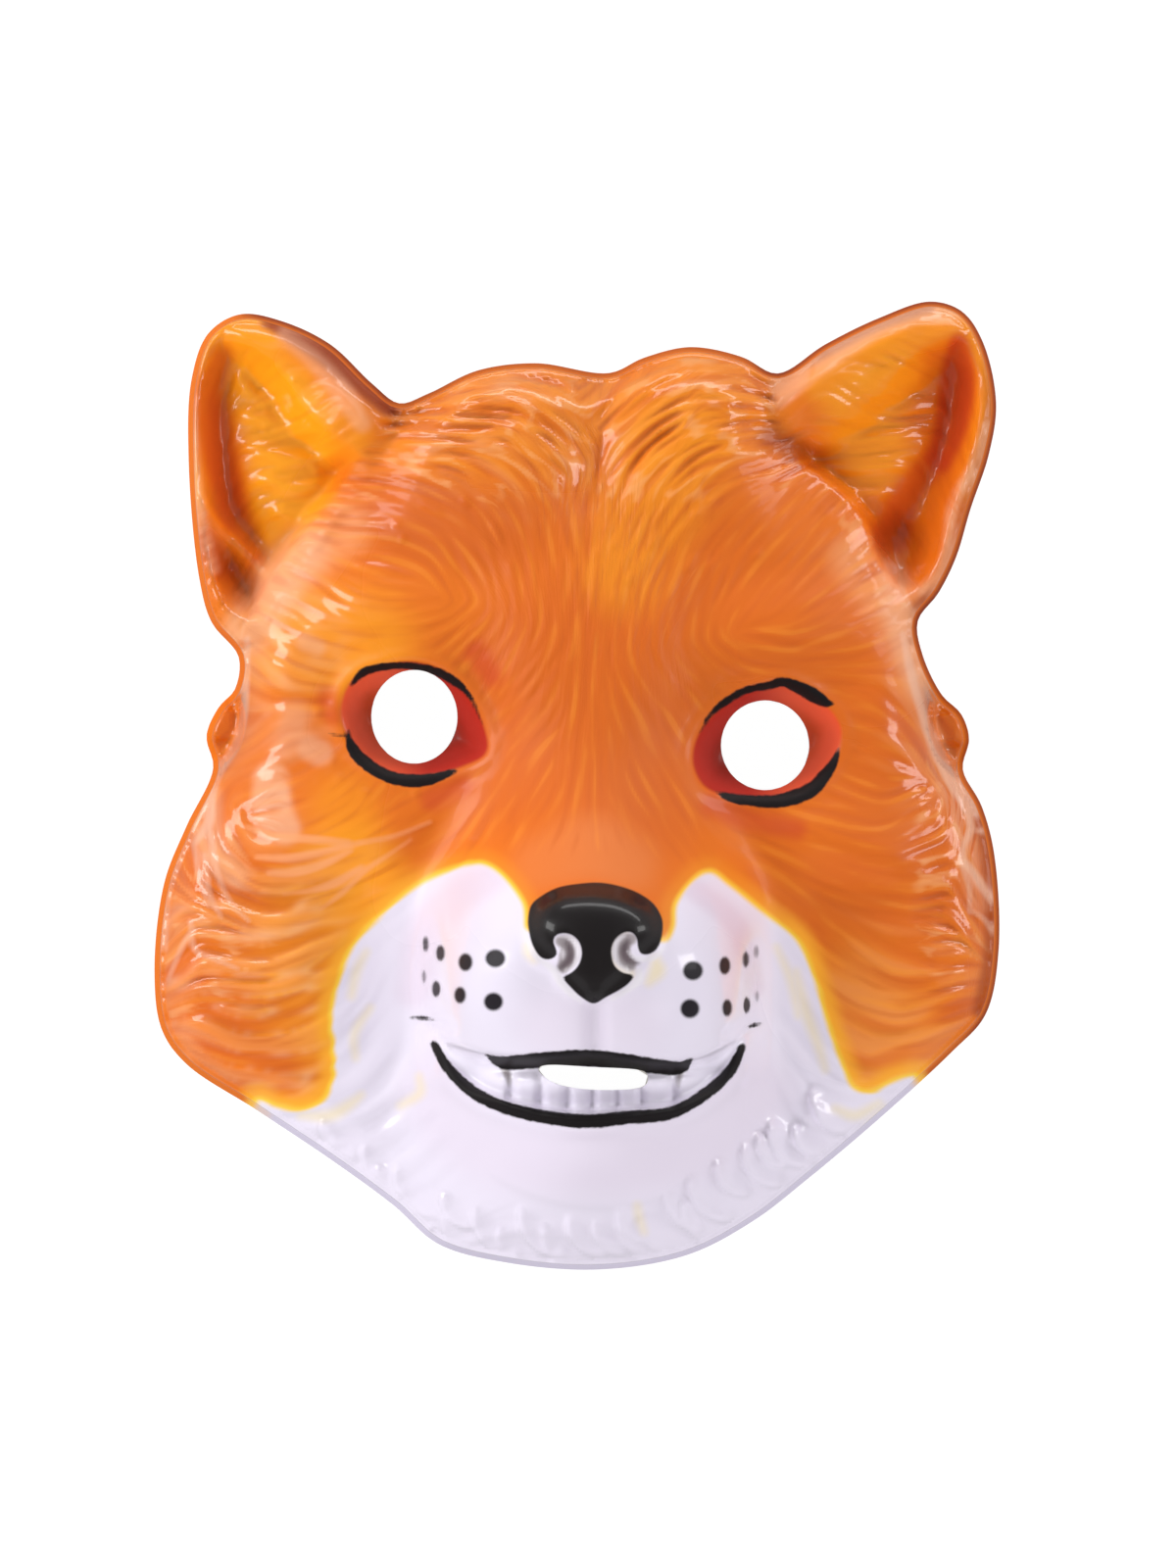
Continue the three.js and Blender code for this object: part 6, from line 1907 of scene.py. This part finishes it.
# %% Floor
FLOOR_HALF = 2.5
FLOOR_GAP = 0.0002  # of the table under the rim
FLOOR_SEEN = 0.95  # glow of the table as the camera sees it
FLOOR_GLOW = 0.4  # glow that falls on the mask
FLOOR_MIRRORED = 0.12  # glow that the gloss mirrors
TABLE = (110, 110, 112)
TABLE_FINISH = {"Roughness": 0.9, "Specular IOR Level": 0.1}
GLOWING_WHITE = (1, 1, 1, 1)
floor_mesh = bpy.data.meshes.new("white_table")
corners = [(-1, -1), (1, -1), (1, 1), (-1, 1)]
corners = [(x * FLOOR_HALF, y * FLOOR_HALF, -FLOOR_GAP) for x, y in corners]
floor_mesh.from_pydata(corners, [], [(0, 1, 2, 3)])
floor = bpy.data.objects.new("white_table", floor_mesh)
bpy.context.scene.collection.objects.link(floor)
white = bpy.data.materials.new("white_table")
white.use_nodes = True
bench = Bench(white.node_tree)
path = bench.add("LightPath").outputs
seen = bench.maths("MULTIPLY", path["Is Camera Ray"], FLOOR_SEEN - FLOOR_GLOW)
mirrored = bench.maths("MULTIPLY", path["Is Glossy Ray"], FLOOR_MIRRORED - FLOOR_GLOW)
glow = bench.maths("ADD", bench.maths("ADD", seen, mirrored), FLOOR_GLOW)
shader = bench.add("BsdfPrincipled", {
    "Base Color": colour(*TABLE), "Emission Color": GLOWING_WHITE, "Emission Strength": glow,
    **TABLE_FINISH,
})
bench.add("OutputMaterial", {"Surface": shader.outputs["BSDF"]})
floor_mesh.materials.append(white)
print("floor", 2 * FLOOR_HALF, "m square")

# %% Lights
SOFT_BOXES = {  # place, width, height, watts, seen in the gloss
    "left_box": ((-1.05, 0.2, 0.45), 0.6, 1.5, 8.2, False),
    "right_box": ((1.05, 0.1, 0.38), 0.5, 1.4, 2.5, False),
    "top_box": ((0.0, 1.15, 0.5), 1.6, 0.5, 2.5, False),
    "low_box": ((0.0, -1.05, 0.55), 1.2, 0.6, 7.5, False),
    "left_strip": ((-1.05, 0.3, 0.45), 0.4, 0.7, 3.6, True),
    "right_strip": ((1.05, 0.2, 0.4), 0.35, 0.6, 2.4, True),
    "top_strip": ((0.25, 1.15, 0.3), 2.3, 0.26, 7.0, True),
}
LAMPS_AIM = (0, 0, 0.03)
for name, (spot, wide, high, watts, mirrored) in SOFT_BOXES.items():
    lamp = bpy.data.lights.new(name, "AREA")
    lamp.shape = "RECTANGLE"
    lamp.size, lamp.size_y = wide, high
    lamp.energy = watts
    holder = bpy.data.objects.new(name, lamp)
    holder.location = spot
    holder.visible_glossy = mirrored
    holder.rotation_euler = (Vector(LAMPS_AIM) - Vector(spot)).to_track_quat("-Z", "Y").to_euler()
    bpy.context.scene.collection.objects.link(holder)
print("lights", list(SOFT_BOXES))

# %% Room
ROOM = 0.38  # light of the white room
ROOM_MIRRORED = 0.18  # light of it that the gloss mirrors
world = bpy.data.worlds.new("studio")
world.use_nodes = True
bench = Bench(world.node_tree)
mirrored = bench.maths("MULTIPLY", bench.add("LightPath").outputs["Is Glossy Ray"], ROOM_MIRRORED - ROOM)
room = bench.add("Background", {"Color": GLOWING_WHITE, "Strength": bench.maths("ADD", mirrored, ROOM)})
bench.add("OutputWorld", {"Surface": room.outputs["Background"]})
bpy.context.scene.world = world
bpy.context.scene.view_settings.view_transform = "Standard"
print("room", ROOM, "bright")

# %% Camera
CAMERA_UP = 9.0  # metres above the table
CAMERA_SENSOR = 36  # millimetres
CAMERA_FAR = 20
FRAME_HIGH = 0.32  # metres of the table that the picture's height takes in
AIM = (1.6, 0.2)  # middle of the picture, in the drawing's millimetres
FACE_LEVEL = 0.012
lens = bpy.data.cameras.new("front_camera")
lens.sensor_width = CAMERA_SENSOR
lens.lens = CAMERA_SENSOR * (CAMERA_UP - FACE_LEVEL) / FRAME_HIGH
lens.clip_end = CAMERA_FAR
camera = bpy.data.objects.new("front_camera", lens)
aim_x, aim_y = (np.array(AIM) - middle_of_outline) * MM
camera.location = (aim_x, aim_y, CAMERA_UP)
bpy.context.scene.collection.objects.link(camera)
bpy.context.scene.camera = camera
print("camera", [round(v, 4) for v in camera.location], "lens", round(lens.lens, 1))
